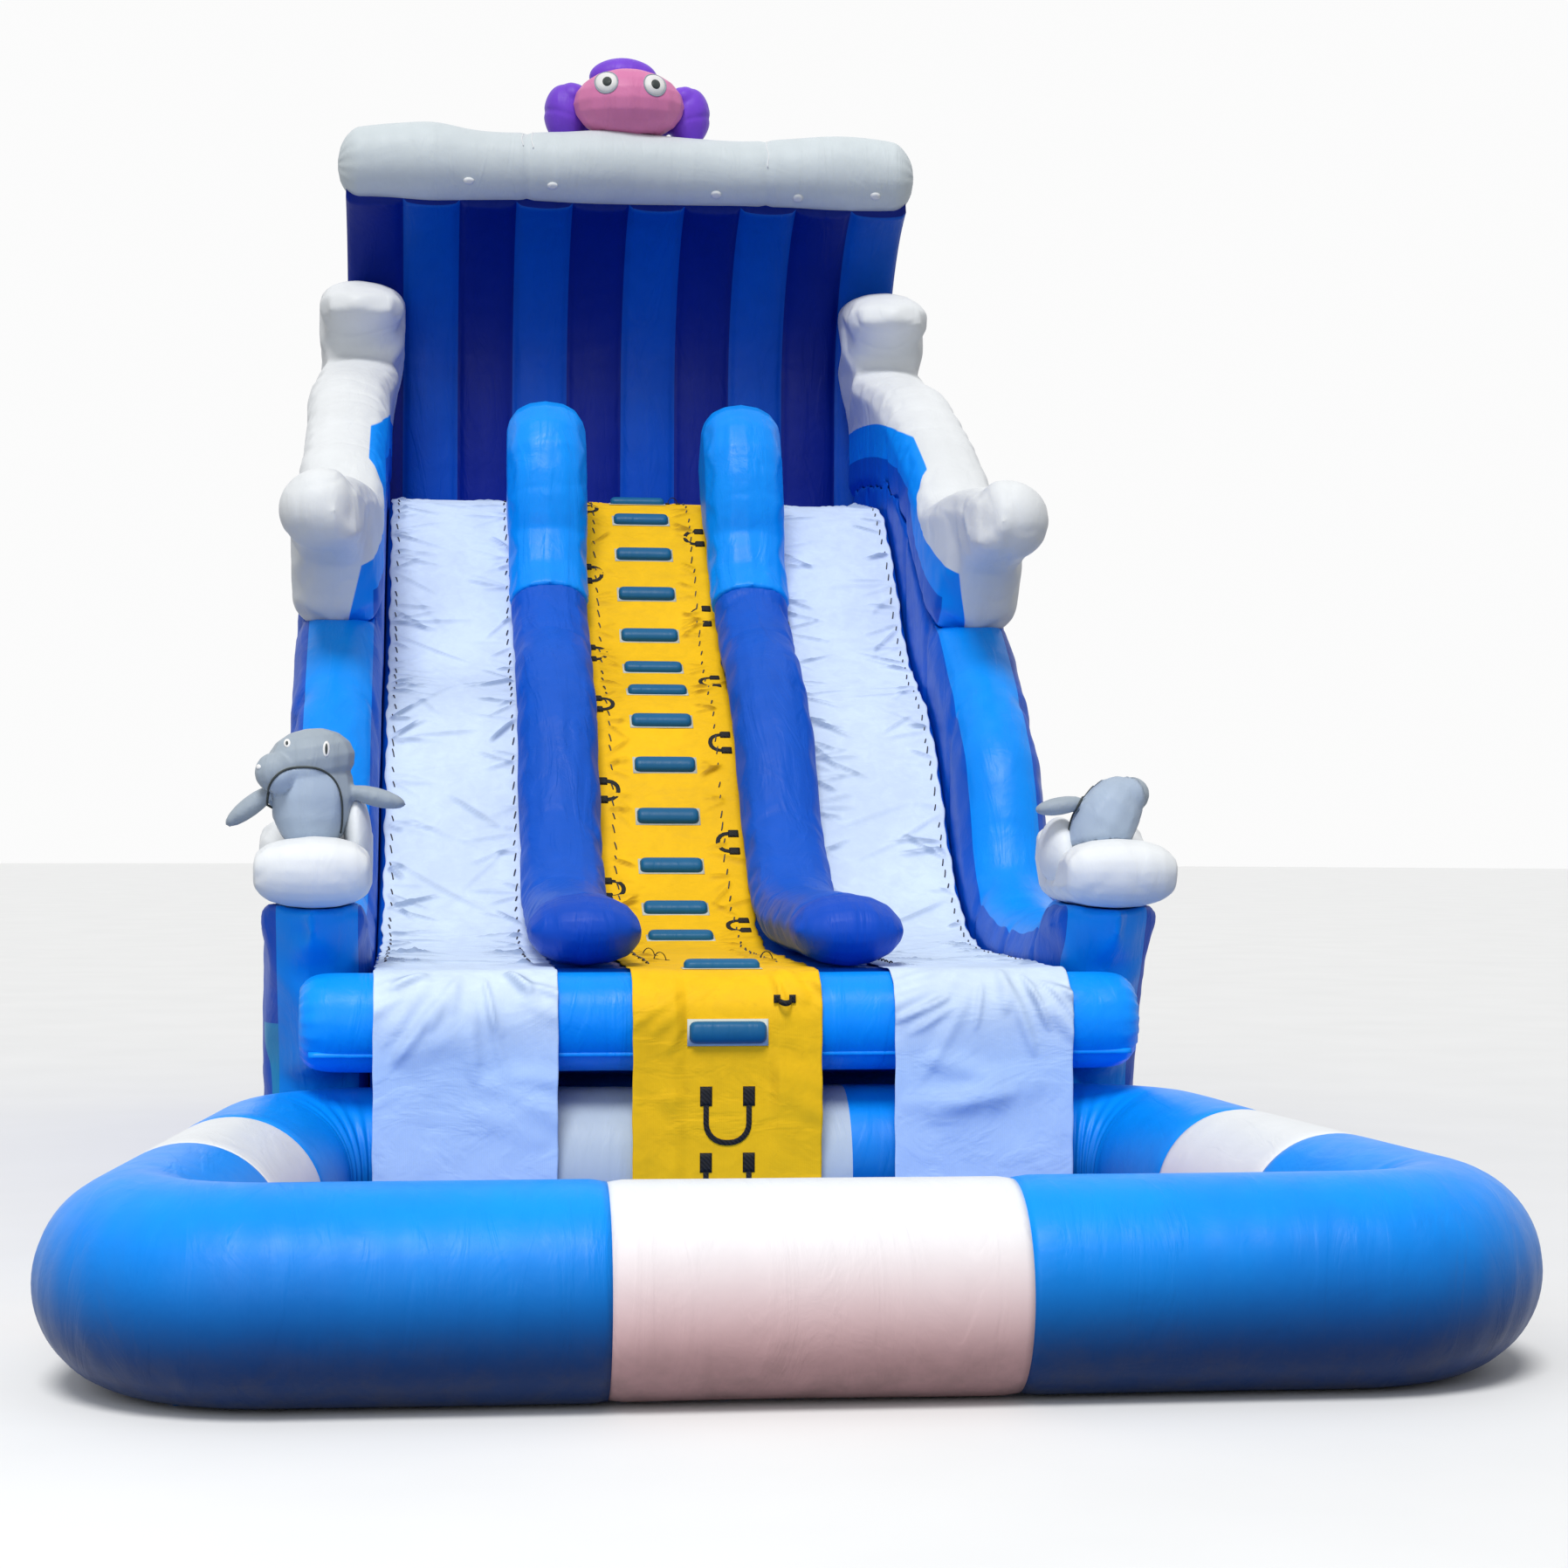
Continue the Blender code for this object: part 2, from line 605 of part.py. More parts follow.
def make_walls(materials, collection, cutters):
    outline = wall_outline()
    foam = smooth_points([from_foot(*share) for share in FOAM_SHARES], 2)
    foam = [Vector((min(p.x, LIP_Y + BACK_FACE - CLEARANCE), p.y)) for p in foam]
    cap = smooth_points([from_foot(*share) for share in FOAM_CAP_SHARES], 2, closed=True)
    walls = {}
    for side, sign in (("left", -1), ("right", 1)):
        wall = pillow(f"side_wall_{side}", outline, sign * WALL_CENTRE, WALL_THICKNESS, WALL_ROUNDING,
                      materials["deep_blue"], collection, trims=[(Vector((0, 0)), Vector((0, -1)))])
        upper = pillow(f"wave_foam_{side}", foam, sign * FOAM_CENTRE, FOAM_THICKNESS, FOAM_ROUNDING,
                       materials["foam_white"], collection)
        lower = pillow(f"foam_cap_{side}", cap, sign * FOAM_CENTRE, FOAM_THICKNESS, FOAM_CAP_ROUNDING,
                       materials["foam_white"], collection)
        cut(wall, upper, cutters)
        cut(wall, lower, cutters)
        walls[side] = (wall, upper, lower)
    return walls


def make_back_wall(material, collection):
    """Vertical channels, swept up and then forward to the crest."""
    channel = BACK_WALL_WIDTH / CHANNELS
    arc_steps = 3
    section = []
    for face in (-1, 1):
        for i in range(CHANNELS * arc_steps):
            x = -BACK_WALL_WIDTH / 2 + channel * (i / arc_steps)
            bulge = CHANNEL_CROWN if i % arc_steps else 0
            section.append((-face * x, -face * (BACK_WALL_THICKNESS / 2 - CHANNEL_CROWN + bulge)))
    section = [(-x, y) for x, y in section]
    middle = LIP_Y + BACK_FACE + BACK_WALL_THICKNESS / 2
    curl_steps = 7
    leans = [CURL_ANGLE * k / curl_steps for k in range(curl_steps + 1)]
    stations = [(0, 0, 0), (PLATFORM_HEIGHT, 0, 0)]
    stations += [
        (CURL_START + CURL_RADIUS * math.sin(lean), CURL_RADIUS * (1 - math.cos(lean)), lean) for lean in leans
    ]
    rings = []
    for height, reach, lean in stations:
        rings.append([
            (x, middle - reach + y * math.cos(lean), height + y * math.sin(lean)) for x, y in section
        ])
    return loft("back_wall", rings, material, collection, crease_degrees=35)


def make_crest(material, collection):
    count = len(CREST_LUMP_SHARES)
    points = []
    for i, share in enumerate(CREST_LUMP_SHARES):
        end_share = -math.cos(math.pi * i / (count - 1)) * 0.35 + (2 * i / (count - 1) - 1) * 0.65
        rise = CREST_RADIUS * (share - 1) * 0.5
        points.append((end_share * CREST_WIDTH / 2, CREST_Y, BACK_WALL_HEIGHT + CREST_RADIUS * 0.25 + rise))
    obj = tube("crest_roll", points, CREST_RADIUS, material, collection, swell=CREST_LUMP_SHARES, sides_step=3)
    return to_mesh_object(obj, collection)


def path_between(path, start_y, end_y):
    """The part of a side-view path between two places along Y."""
    inside = [p for p in path if start_y < p.x < end_y]
    ends = []
    for y in (start_y, end_y):
        for a, b in zip(path, path[1:]):
            if a.x <= y < b.x:
                ends.append(a + (b - a) * ((y - a.x) / (b.x - a.x)))
    return [ends[0], *inside, ends[1]]


def make_dividers(materials, collection, cutters):
    deck = [from_lip(0, LANDING_HEIGHT), *surface_path(3)]
    lower_deck = offset_path(deck, CLEARANCE + LIFT)
    upper_deck = offset_path(deck, DIVIDER_HEIGHT)
    start = LIP_Y + FOOT_SETBACK + FOOT_LENGTH * 0.7
    seam_y = from_foot(SEAM_SHARE, 0).x
    overrun = DIVIDER_HEIGHT
    lower = path_between(lower_deck, start, seam_y + overrun)
    upper = path_between(upper_deck, start, seam_y + overrun)
    seam_line = path_between(deck, seam_y - CLEARANCE, seam_y)
    seam = seam_line[0]
    along = (seam_line[-1] - seam).normalized()
    tube_outline = lower + list(reversed(upper))
    head_top = [from_foot(*share) for share in HEAD_SHARES]
    raise_by = PLATFORM_HEIGHT + HEAD_HEIGHT - max(p.y for p in head_top)
    head_top = [Vector((p.x, p.y + raise_by * (p.y > PLATFORM_HEIGHT))) for p in head_top]
    below = path_between(upper_deck, seam_y - overrun, head_top[0].x - ROLL_RADIUS / 2)
    under = path_between(lower_deck, seam_y - overrun, head_top[-1].x)
    head_outline = below + smooth_points(head_top, 2) + list(reversed(under))
    foot_steps = 20
    foot_outline = [
        from_lip(FOOT_SETBACK + FOOT_LENGTH / 2 * (1 - math.cos(a)),
                 LANDING_HEIGHT + CLEARANCE + DIVIDER_HEIGHT / 2 * (1 + math.sin(a)))
        for a in (2 * math.pi * k / foot_steps for k in range(foot_steps))
    ]
    for side, sign in (("left", -1), ("right", 1)):
        x = sign * DIVIDER_CENTRE
        body = pillow(f"divider_{side}", tube_outline, x, DIVIDER_WIDTH, DIVIDER_ROUNDING,
                      materials["divider_blue"], collection, trims=[(seam, along)])
        pillow(f"divider_head_{side}", head_outline, x, HEAD_WIDTH, DIVIDER_ROUNDING,
               materials["bright_blue"], collection, trims=[(seam + along * CLEARANCE, -along)])
        foot = pillow(f"divider_foot_{side}", foot_outline, x, FOOT_WIDTH, DIVIDER_ROUNDING,
                      materials["divider_blue"], collection)
        cut(body, foot, cutters)


# Covers


def cover_path():
    """The way a cover takes: platform, slope, landing, over the roll and down into the pool."""
    path = [p for p in surface_path(3)]
    arc_steps = 5
    roll = [
        from_lip(ROLL_RADIUS * (1 - math.cos(a)), ROLL_HEIGHT + ROLL_RADIUS * math.sin(a))
        for a in (math.radians(90 * k / arc_steps) for k in range(arc_steps + 1))
    ]
    drop = [from_lip(0, between(DRAPE_BOTTOM, ROLL_HEIGHT, share)) for share in (0.0, 0.33, 0.66)]
    return drop + roll + path[:-1]


def fold_depth(share):
    """How far the hanging part of a cover falls in at a share of its width. Its middle third is flat."""
    from_edge = min(share, 1 - share, 1 / 3)
    return FOLD_DEPTH * (1 - math.cos(6 * math.pi * from_edge)) / 2


def make_cover(name, centre_x, width, material, collection):
    path = offset_path(cover_path(), LIFT)
    columns = COVER_COLUMNS
    hang = 3
    rings = []
    for i, point in enumerate(path):
        direction = (path[min(i + 1, len(path) - 1)] - path[max(i - 1, 0)]).normalized()
        normal = Vector((-direction.y, direction.x))
        ring = []
        for face in (0, 1):
            for k in range(columns + 1):
                share = k / columns if face == 0 else 1 - k / columns
                fold = fold_depth(share) if i < hang else 0
                place = point + normal * (face * SHEET_THICKNESS - fold)
                ring.append((centre_x + (share - 0.5) * width, place.x, place.y))
        rings.append(ring)
    return loft(name, rings, material, collection, crease_degrees=35)


def make_covers(materials, collection):
    make_cover("lane_cover_left", -LANE_CENTRE, LANE_COVER_WIDTH, materials["sheet_white"], collection)
    make_cover("lane_cover_right", LANE_CENTRE, LANE_COVER_WIDTH, materials["sheet_white"], collection)
    make_cover("ladder_cover", 0, LADDER_COVER_WIDTH, materials["yellow"], collection)


# Rungs and webbing


def frame_at(point, direction, off):
    """A matrix at a distance off the path: X across the slide, Y along the path, Z away from it."""
    normal = Vector((-direction.y, direction.x))
    place = point + normal * off
    matrix = Matrix((
        (1, 0, 0, 0),
        (0, direction.x, normal.x, place.x),
        (0, direction.y, normal.y, place.y),
        (0, 0, 0, 1),
    ))
    return matrix


def rung_mesh():
    """A padded bar: a flat back and a round face with closed, drawn-in ends."""
    end_share = 0.86
    arc_steps = 6
    rings = []
    half = RUNG_LENGTH / 2
    for x, share in ((-half, 0.55), (-half * end_share, 1), (half * end_share, 1), (half, 0.55)):
        rings.append([
            (x, -share * RUNG_WIDTH / 2 * math.cos(a), share * RUNG_HEIGHT * math.sin(a))
            for a in (math.radians(180 * k / arc_steps) for k in range(arc_steps + 1))
        ])
    return rings


def ladder_path():
    return offset_path(cover_path(), LIFT + SHEET_THICKNESS)


def slope_distance(path):
    """How far along the ladder the foot of the slope lies."""
    run = 0.0
    foot = LIP_Y + LANDING_LENGTH
    for a, b in zip(path, path[1:]):
        if b.x >= foot and a.y > ROLL_HEIGHT:
            return run + (foot - a.x)
        run += (b - a).length
    return run


def rung_places(path):
    start = slope_distance(path) + FIRST_RUNG
    places = [start + i * RUNG_PITCH for i in range(SLOPE_RUNGS)]
    hanging = ROLL_HEIGHT + ROLL_RADIUS - HANGING_RUNG_DROP - DRAPE_BOTTOM
    lip = slope_distance(path) - LANDING_LENGTH + LIP_RUNG_SETBACK
    return [hanging, lip, *places]


def make_rungs(material, collection):
    path = ladder_path()
    for i, distance in enumerate(rung_places(path)):
        point, direction = seat_on(path, distance, RUNG_WIDTH)
        obj = loft(f"rung_{i + 1:02d}", rung_mesh(), material, collection)
        obj.matrix_world = frame_at(point, direction, CLEARANCE)


def strap_loop(span, reach, steps, thickness):
    """A flat strap bent into a U: both ends on the X axis, the bend towards -Z, its body along Y."""
    corner = BEND_SHARE * span
    half = span / 2
    leg = reach - corner
    line = [Vector((-half, 0))]
    for k in range(steps + 1):
        a = math.radians(180 + 90 * k / steps)
        line.append(Vector((corner - half + corner * math.cos(a), -leg + corner * math.sin(a))))
    for k in range(steps + 1):
        a = math.radians(270 + 90 * k / steps)
        line.append(Vector((half - corner + corner * math.cos(a), -leg + corner * math.sin(a))))
    line.append(Vector((half, 0)))
    outer = offset_path(line, STRAP_WIDTH / 2)
    inner = offset_path(line, -STRAP_WIDTH / 2)
    rings = []
    for a, b in zip(outer, inner):
        rings.append([(a.x, 0, a.y), (b.x, 0, b.y), (b.x, thickness, b.y), (a.x, thickness, a.y)])
    return rings


def make_ladder_loops(material, collection):
    path = ladder_path()
    places = rung_places(path)[2:]
    for i, (a, b) in enumerate(zip(places, places[1:])):
        point, direction = seat_on(path, (a + b) / 2, LOOP_SPAN + STRAP_WIDTH)
        sign = 1 if i % 2 == 0 else -1
        rings = strap_loop(LOOP_SPAN, LOOP_REACH, 4, -STRAP_THICKNESS)
        obj = loft(f"ladder_loop_{i + 1:02d}", rings, material, collection)
        frame = frame_at(point, direction, CLEARANCE)
        frame.translation.x = sign * LOOP_LINE
        turn = Matrix(((0, 0, sign, 0), (-sign, 0, 0, 0), (0, -1, 0, 0), (0, 0, 0, 1)))
        obj.matrix_world = frame @ turn


def make_u_handles(material, collection):
    off = LIFT + SHEET_THICKNESS + CLEARANCE + STRAP_THICKNESS
    for i, share in enumerate(U_DROP_SHARES):
        rings = strap_loop(U_SPAN, U_REACH, 6, STRAP_THICKNESS)
        obj = loft(f"u_handle_{i + 1}", rings, material, collection)
        obj.location = (0, LIP_Y - off, LANDING_HEIGHT * (1 - share))


# Figures


def make_octopus(materials, collection, cutters, crest):
    y = CREST_Y
    seat = BACK_WALL_HEIGHT + 1.2 * CREST_RADIUS
    head_centre = (0, y, seat + OCTOPUS_HEAD_HEIGHT * 0.42)
    head_size = (OCTOPUS_HEAD_WIDTH, OCTOPUS_HEAD_DEPTH, OCTOPUS_HEAD_HEIGHT)
    head = ball("octopus_head", head_centre, head_size, materials["pink"], collection)
    reach = OCTOPUS_SPREAD / 2 - OCTOPUS_ARM_RADIUS
    crown = OCTOPUS_HEAD_HEIGHT * 0.70
    arch_steps = 10
    points = []
    swell = []
    for k in range(arch_steps + 1):
        a = math.pi * k / arch_steps
        points.append((reach * math.cos(a), y + OCTOPUS_ARM_RADIUS, seat + crown * math.sin(a)))
        swell.append(0.88 if k in (0, arch_steps) else 1.0)
    arms = tube("octopus_arms", points, OCTOPUS_ARM_RADIUS, materials["purple"], collection, swell=swell)
    arms = to_mesh_object(arms, collection)
    for piece in (head, arms):
        cut(piece, crest, cutters)
    cut(arms, head, cutters)


def make_dolphin(side, sign, materials, collection, cutters, seat):
    """A dolphin that sits up, joined from its forms: body, head and flippers."""
    x = sign * FOAM_CENTRE
    y = from_foot(*DOLPHIN_SEAT_SHARE).x
    z = from_foot(*DOLPHIN_SEAT_SHARE).y - DOLPHIN_SINK
    size = Vector((DOLPHIN_WIDTH, DOLPHIN_DEPTH, DOLPHIN_HEIGHT))
    body = None
    for name, place, share, turn in DOLPHIN_FORMS[side]:
        centre = (x + sign * place[0] * size.x, y + place[1] * size.y, z + place[2] * size.z)
        full = [part_share * side_length for part_share, side_length in zip(share, size)]
        angles = (math.radians(turn[0]), math.radians(sign * turn[1]), 0)
        form = ball(f"dolphin_{side}{name}", centre, full, materials["grey"], collection,
                    turn=angles, segments=12, rings=8)
        if body:
            join(body, form, cutters)
        else:
            body = form
    cut(body, seat, cutters)
    return body


def make_sleeve(material, collection):
    """An open fabric sleeve on the back wall, where a blower is tied on."""
    steps = 16
    face = LIP_Y + BACK_FACE + BACK_WALL_THICKNESS + CLEARANCE
    x = -BACK_WALL_WIDTH / CHANNELS * 3.5
    rings = []
    inner = SLEEVE_RADIUS - SLEEVE_WALL
    sections = (
        (0, SLEEVE_RADIUS), (SLEEVE_LENGTH, SLEEVE_RADIUS), (SLEEVE_LENGTH, inner), (SLEEVE_WALL, inner),
    )
    for reach, radius in sections:
        rings.append([
            (x + radius * math.cos(a), face + reach, SLEEVE_HEIGHT + radius * math.sin(a))
            for a in (2 * math.pi * k / steps for k in range(steps))
        ])
    return loft("inflation_sleeve", rings, material, collection)


def make_materials():
    colours = {
        "bright_blue": BRIGHT_BLUE, "deep_blue": DEEP_BLUE, "divider_blue": DIVIDER_BLUE,
        "wall_blue": WALL_BLUE, "yellow": YELLOW, "rung_blue": RUNG_BLUE, "sheet_white": SHEET_WHITE,
        "foam_white": FOAM_WHITE, "grey": GREY, "purple": PURPLE, "pink": PINK,
        "webbing_black": WEBBING_BLACK, "pool_floor": BRIGHT_BLUE,
    }
    return {name: new_material(name, colour) for name, colour in colours.items()}


def main():
    clear_scene()
    collection = new_collection("inflatable_water_slide")
    cutters = new_collection("cutters")
    materials = make_materials()
    make_pool(materials, collection)
    make_base(materials["deep_blue"], collection)
    make_roll(materials["bright_blue"], collection)
    walls = make_walls(materials, collection, cutters)
    back_wall = make_back_wall(materials["wall_blue"], collection)
    for wall, upper, lower in walls.values():
        cut(upper, back_wall, cutters)
    crest = make_crest(materials["foam_white"], collection)
    cut(back_wall, crest, cutters)
    make_dividers(materials, collection, cutters)
    make_covers(materials, collection)
    make_rungs(materials["rung_blue"], collection)
    make_ladder_loops(materials["webbing_black"], collection)
    make_u_handles(materials["webbing_black"], collection)
    make_octopus(materials, collection, cutters, crest)
    for side, sign in (("left", -1), ("right", 1)):
        make_dolphin(side, sign, materials, collection, cutters, walls[side][2])
    make_sleeve(materials["webbing_black"], collection)


main()
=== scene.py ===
import json
import math
from contextlib import contextmanager
from itertools import product

import bmesh
import bpy
import numpy as np
from mathutils import Matrix, Vector
from mathutils.bvhtree import BVHTree


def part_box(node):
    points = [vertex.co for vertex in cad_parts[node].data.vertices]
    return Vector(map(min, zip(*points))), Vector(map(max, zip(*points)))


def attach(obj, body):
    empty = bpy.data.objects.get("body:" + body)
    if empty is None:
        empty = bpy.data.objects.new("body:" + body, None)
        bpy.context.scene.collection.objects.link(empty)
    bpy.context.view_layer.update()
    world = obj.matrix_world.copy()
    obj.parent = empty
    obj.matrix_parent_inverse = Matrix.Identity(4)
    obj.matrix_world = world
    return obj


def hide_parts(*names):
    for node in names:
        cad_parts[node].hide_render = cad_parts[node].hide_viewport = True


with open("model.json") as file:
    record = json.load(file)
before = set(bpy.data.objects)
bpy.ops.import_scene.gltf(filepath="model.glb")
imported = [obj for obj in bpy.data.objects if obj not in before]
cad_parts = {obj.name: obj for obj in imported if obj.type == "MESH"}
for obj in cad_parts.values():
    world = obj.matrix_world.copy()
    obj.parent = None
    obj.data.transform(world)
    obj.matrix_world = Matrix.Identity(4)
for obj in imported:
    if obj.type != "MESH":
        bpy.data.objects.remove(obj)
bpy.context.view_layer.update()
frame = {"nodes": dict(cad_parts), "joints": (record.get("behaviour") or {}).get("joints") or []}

BODY = "slide"
SIDES = (("left", -1), ("right", 1))
TURN = 2 * math.pi

# Sizes shared with the part, in metres
LANDING_LENGTH = 2.65
SLOPE_RUN = 4.25
BACK_FACE = 8.75
LANDING_HEIGHT = 1.47
PLATFORM_HEIGHT = 4.62
BACK_WALL_HEIGHT = 7.25
BACK_WALL_THICKNESS = 0.55
BACK_WALL_WIDTH = 4.36
CHANNELS = 10
CROWN = 0.055
LIP_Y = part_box("landing_roll")[0].y
RISE = PLATFORM_HEIGHT - LANDING_HEIGHT
ROLL_RADIUS = 0.26
ROLL_HEIGHT = LANDING_HEIGHT - ROLL_RADIUS
TUBE_RADIUS = 0.43
POOL_REACH = 4.05
POOL_BACK = 0.47
POOL_WIDTHS = (6.26, 5.40)
POOL_BEND = 0.54
CURL_START = 5.70
CURL_ANGLE = math.radians(70)
CURL_RADIUS = (BACK_WALL_HEIGHT - CURL_START) / math.sin(CURL_ANGLE)
CURL_REACH = CURL_RADIUS * (1 - math.cos(CURL_ANGLE))
CREST_Y = LIP_Y + BACK_FACE + BACK_WALL_THICKNESS / 2 - CURL_REACH
CREST_RADIUS = 0.29
CREST_WIDTH = 4.42
WALL_CENTRE = 2.118
FOAM_CENTRE = 2.12
DIVIDER_CENTRE = 0.70
LANE_CENTRE = 1.33
LANE_WIDTH = 0.94
LADDER_WIDTH = 0.98
DRAPE_BOTTOM = 0.12
DOLPHIN_Y = -2.24
LIFT = 0.003
GROUND = 0.0003
RUNGS = 15
LOOPS = 12
HANDLES = 2
RUNG_LENGTH = 0.40
RUNG_WIDTH = 0.115
RUNG_HEIGHT = 0.05
SLOPE_SHARES = (
    (-0.10, 0.0), (0.0, 0.006), (0.09, 0.035), (0.17, 0.095), (0.26, 0.205), (0.36, 0.375),
    (0.46, 0.49), (0.57, 0.555), (0.67, 0.64), (0.77, 0.785), (0.87, 0.915), (0.95, 0.98), (1.04, 1.0),
)
CREST_LUMPS = (0.90, 1.0, 1.07, 1.10, 1.0, 0.95, 0.99, 1.04, 1.0, 0.95, 0.93, 0.98, 1.04, 1.05, 1.0, 0.90)

# Seams, panels and folds of the skins, in metres
FRONT_PANEL = (0.302, 0.683)  # shares of the pool's front and of its sides
SIDE_PANEL = (0.32, 0.70)
REAR_PANEL = (-1.30, 0.655)
WALL_PANEL_PITCH, WALL_PANEL_START = 0.90, 0.2
FLOOR_PITCH, FLOOR_BOTTOM, FLOOR_TOP = 0.04, 0.0015, 0.024
INNER_STRIPE, OUTER_STRIPE, WALL_BACK = 0.232, 0.188, 0.14  # where a wall's colours meet
PATCH_TOP, PATCH_LENGTH = 1.17, 1.0  # the turquoise panel
DIVIDER_TUCKS = ((-1.55, 0.016), (-1.05, 0.012), (-0.45, 0.020), (-0.05, 0.022),
                 (0.55, 0.012), (1.35, 0.010), (2.05, 0.012), (2.45, 0.014))
CREST_TUCKS = (-0.79, 1.067)
CREST_GATHERS = ((-1.241, 7.158), (-0.60, 7.143), (0.668, 7.119), (1.308, 7.110), (1.911, 7.135))
CREST_SEAMS = ((-0.83, 7.56, 7.44), (-0.755, 7.58, 7.42), (1.067, 7.56, 7.32))
# The left dolphin's eyes: name, place, size, pupil's size
EYES = (("outer_eye", (-2.253, 2.645), (0.036, 0.046), (0.014, 0.022)),
        ("inner_eye", (-2.050, 2.615), (0.036, 0.084), (0.014, 0.058)))
# Place of a painted highlight, a small white dot on the left dolphin's snout
SNOUT_HIGHLIGHT = (-2.395, 2.520)
RIBBON_SECTION = ((-0.5, 0), (-0.5, 0.7), (-0.42, 1), (0, 1.08), (0.42, 1), (0.5, 0.7), (0.5, 0), (0, -0.02))
# Sewn loops on the landing and beside the first and the hanging rung: place, direction, up
TABS = (((-0.272, -1.043, 1.470), (0, 1, 0), (0, 0, 1)), ((-0.250, -1.589, 1.470), (0, 1, 0), (0, 0, 1)),
        ((0.352, -1.508, 1.470), (0, 1, 0), (0, 0, 1)), ((0.293, -2.850, 1.340), (0, 0, -1), (0, -1, 0)),
        ((0.272, 4.10, 4.615), (0, 1, 0), (0, 0, 1)))

# Colours, linear RGB
BRIGHT_BLUE = (0.001, 0.285, 1.0)
DEEP_BLUE = (0.001, 0.098, 0.60)
DIVIDER_BLUE = (0.004, 0.092, 0.56)
FOOT_BLUE = (0.002, 0.066, 0.50)
NAVY = (0.0, 0.015, 0.25)
STRIPE_BLUE = (0.0, 0.090, 0.54)
YELLOW = (0.93, 0.54, 0.008)
RUNG_BLUE = (0.010, 0.12, 0.27)
SHEET_WHITE = (0.65, 0.78, 0.96)
FOAM_WHITE = (0.78, 0.81, 0.84)
GREY = (0.345, 0.405, 0.47)
BELLY = (0.40, 0.49, 0.62)
PURPLE = (0.20, 0.065, 0.70)
PINK = (0.74, 0.23, 0.46)
BLACK = (0.006, 0.006, 0.007)
DIRT = (0.10, 0.085, 0.07)


# Paths


def smooth_points(points, steps):
    """Points along a Catmull-Rom curve through the given ones."""
    points = [Vector(p) for p in points]
    result = []
    for i, (b, c) in enumerate(zip(points, points[1:])):
        a = points[i - 1] if i else 2 * b - c
        d = points[i + 2] if i + 2 < len(points) else 2 * c - b
        for k in range(steps):
            t = k / steps
            result.append(0.5 * ((2 * b) + (c - a) * t + (2 * a - 5 * b + 4 * c - d) * t**2
                                 + (3 * b - a - 3 * c + d) * t**3))
    return [*result, points[-1]]


def cover_path():
    """From the hanging end in the pool over the roll and up the slope to the platform."""
    steps = 10
    roll = [(LIP_Y + ROLL_RADIUS * (1 - math.cos(a)), ROLL_HEIGHT + ROLL_RADIUS * math.sin(a))
            for a in (math.radians(90 * k / steps) for k in range(steps + 1))]
    slope = [(LIP_Y + LANDING_LENGTH + run * SLOPE_RUN, LANDING_HEIGHT + rise * RISE)
             for run, rise in SLOPE_SHARES]
    return [Vector((LIP_Y, DRAPE_BOTTOM)), *(Vector(p) for p in roll), *smooth_points(slope, 3)]


def circle(count):
    return np.linspace(0, TURN, count, endpoint=False)


def unit(rows):
    return rows / np.linalg.norm(rows, axis=-1, keepdims=True)


def resample(points, pitch):
    """Points and unit directions at an even pitch along a path, as arrays."""
    places = np.array([tuple(p) for p in points])
    run = np.concatenate([[0], np.cumsum(np.linalg.norm(np.diff(places, axis=0), axis=1))])
    at = np.linspace(0, run[-1], max(2, int(round(run[-1] / pitch)) + 1))
    made = np.stack([np.interp(at, run, places[:, k]) for k in range(places.shape[1])], axis=1)
    for _ in range(3):
        made[1:-1] = (made[:-2] + 2 * made[1:-1] + made[2:]) / 4
    return made, unit(np.gradient(made, axis=0)), at


# Shape noise


def lumps(points, height, size, seed, stretch=(1, 1, 1)):
    """Smooth noise from -height to height, in lumps of about a size, finer where stretch is over 1."""
    cells, shift = 24, 7.3
    table = np.random.RandomState(seed).rand(cells, cells, cells) * 2 - 1
    q = points * np.array(stretch) / size + shift
    low = np.floor(q).astype(int)
    f = q - low
    f = f * f * (3 - 2 * f)
    ends, shares = (low % cells, (low + 1) % cells), (1 - f, f)
    total = 0
    for i, j, k in product((0, 1), repeat=3):
        w = shares[i][..., 0] * shares[j][..., 1] * shares[k][..., 2]
        total = total + table[ends[i][..., 0], ends[j][..., 1], ends[k][..., 2]] * w
    return height * total


def ridge(offset, width):
    """A smooth ridge, 1 high where the offset is 0."""
    return np.exp(-((offset / width) ** 2))


def eased(values, low, high):
    share = np.clip((values - low) / (high - low), 0, 1)
    return share * share * (3 - 2 * share)


def creases(u, v, lines):
    """Sum of soft folds: each line is (u0, v0, u1, v1, height, width)."""
    total = np.zeros_like(u)
    for u0, v0, u1, v1, height, width in lines:
        du, dv = u1 - u0, v1 - v0
        length = math.hypot(du, dv)
        share = ((u - u0) * du + (v - v0) * dv) / length**2
        off = ((u - u0) * dv - (v - v0) * du) / length
        taper = np.clip(1 - np.abs(2 * share - 1) ** 3, 0, None)
        total += height * taper * ridge(off, width * (0.5 + 0.5 * taper))
    return total


def edge_creases(rng, width, start, end, height):
    """Fans of thin folds that run in from places along both laced edges of a cover."""
    pitch, reach = 0.24, 0.40
    lines = []
    for u0, inward in ((0, 1), (width, -1)):
        v = start
        while v < end:
            v += pitch * rng.uniform(0.5, 1.7)
            lead = rng.uniform(-0.4, 0.4)
            for _ in range(rng.randint(2, 6)):
                angle = lead + rng.uniform(-0.7, 0.7)
                length = reach * rng.uniform(0.2, 1.0)
                du, dv = length * math.cos(angle) * inward, length * math.sin(angle)
                root = v + rng.uniform(-0.05, 0.05)
                lines.append((u0 - du * 0.05, root - dv * 0.05, u0 + du, root + dv,
                              height * rng.uniform(0.3, 1.0), rng.uniform(0.010, 0.018)))
    return lines


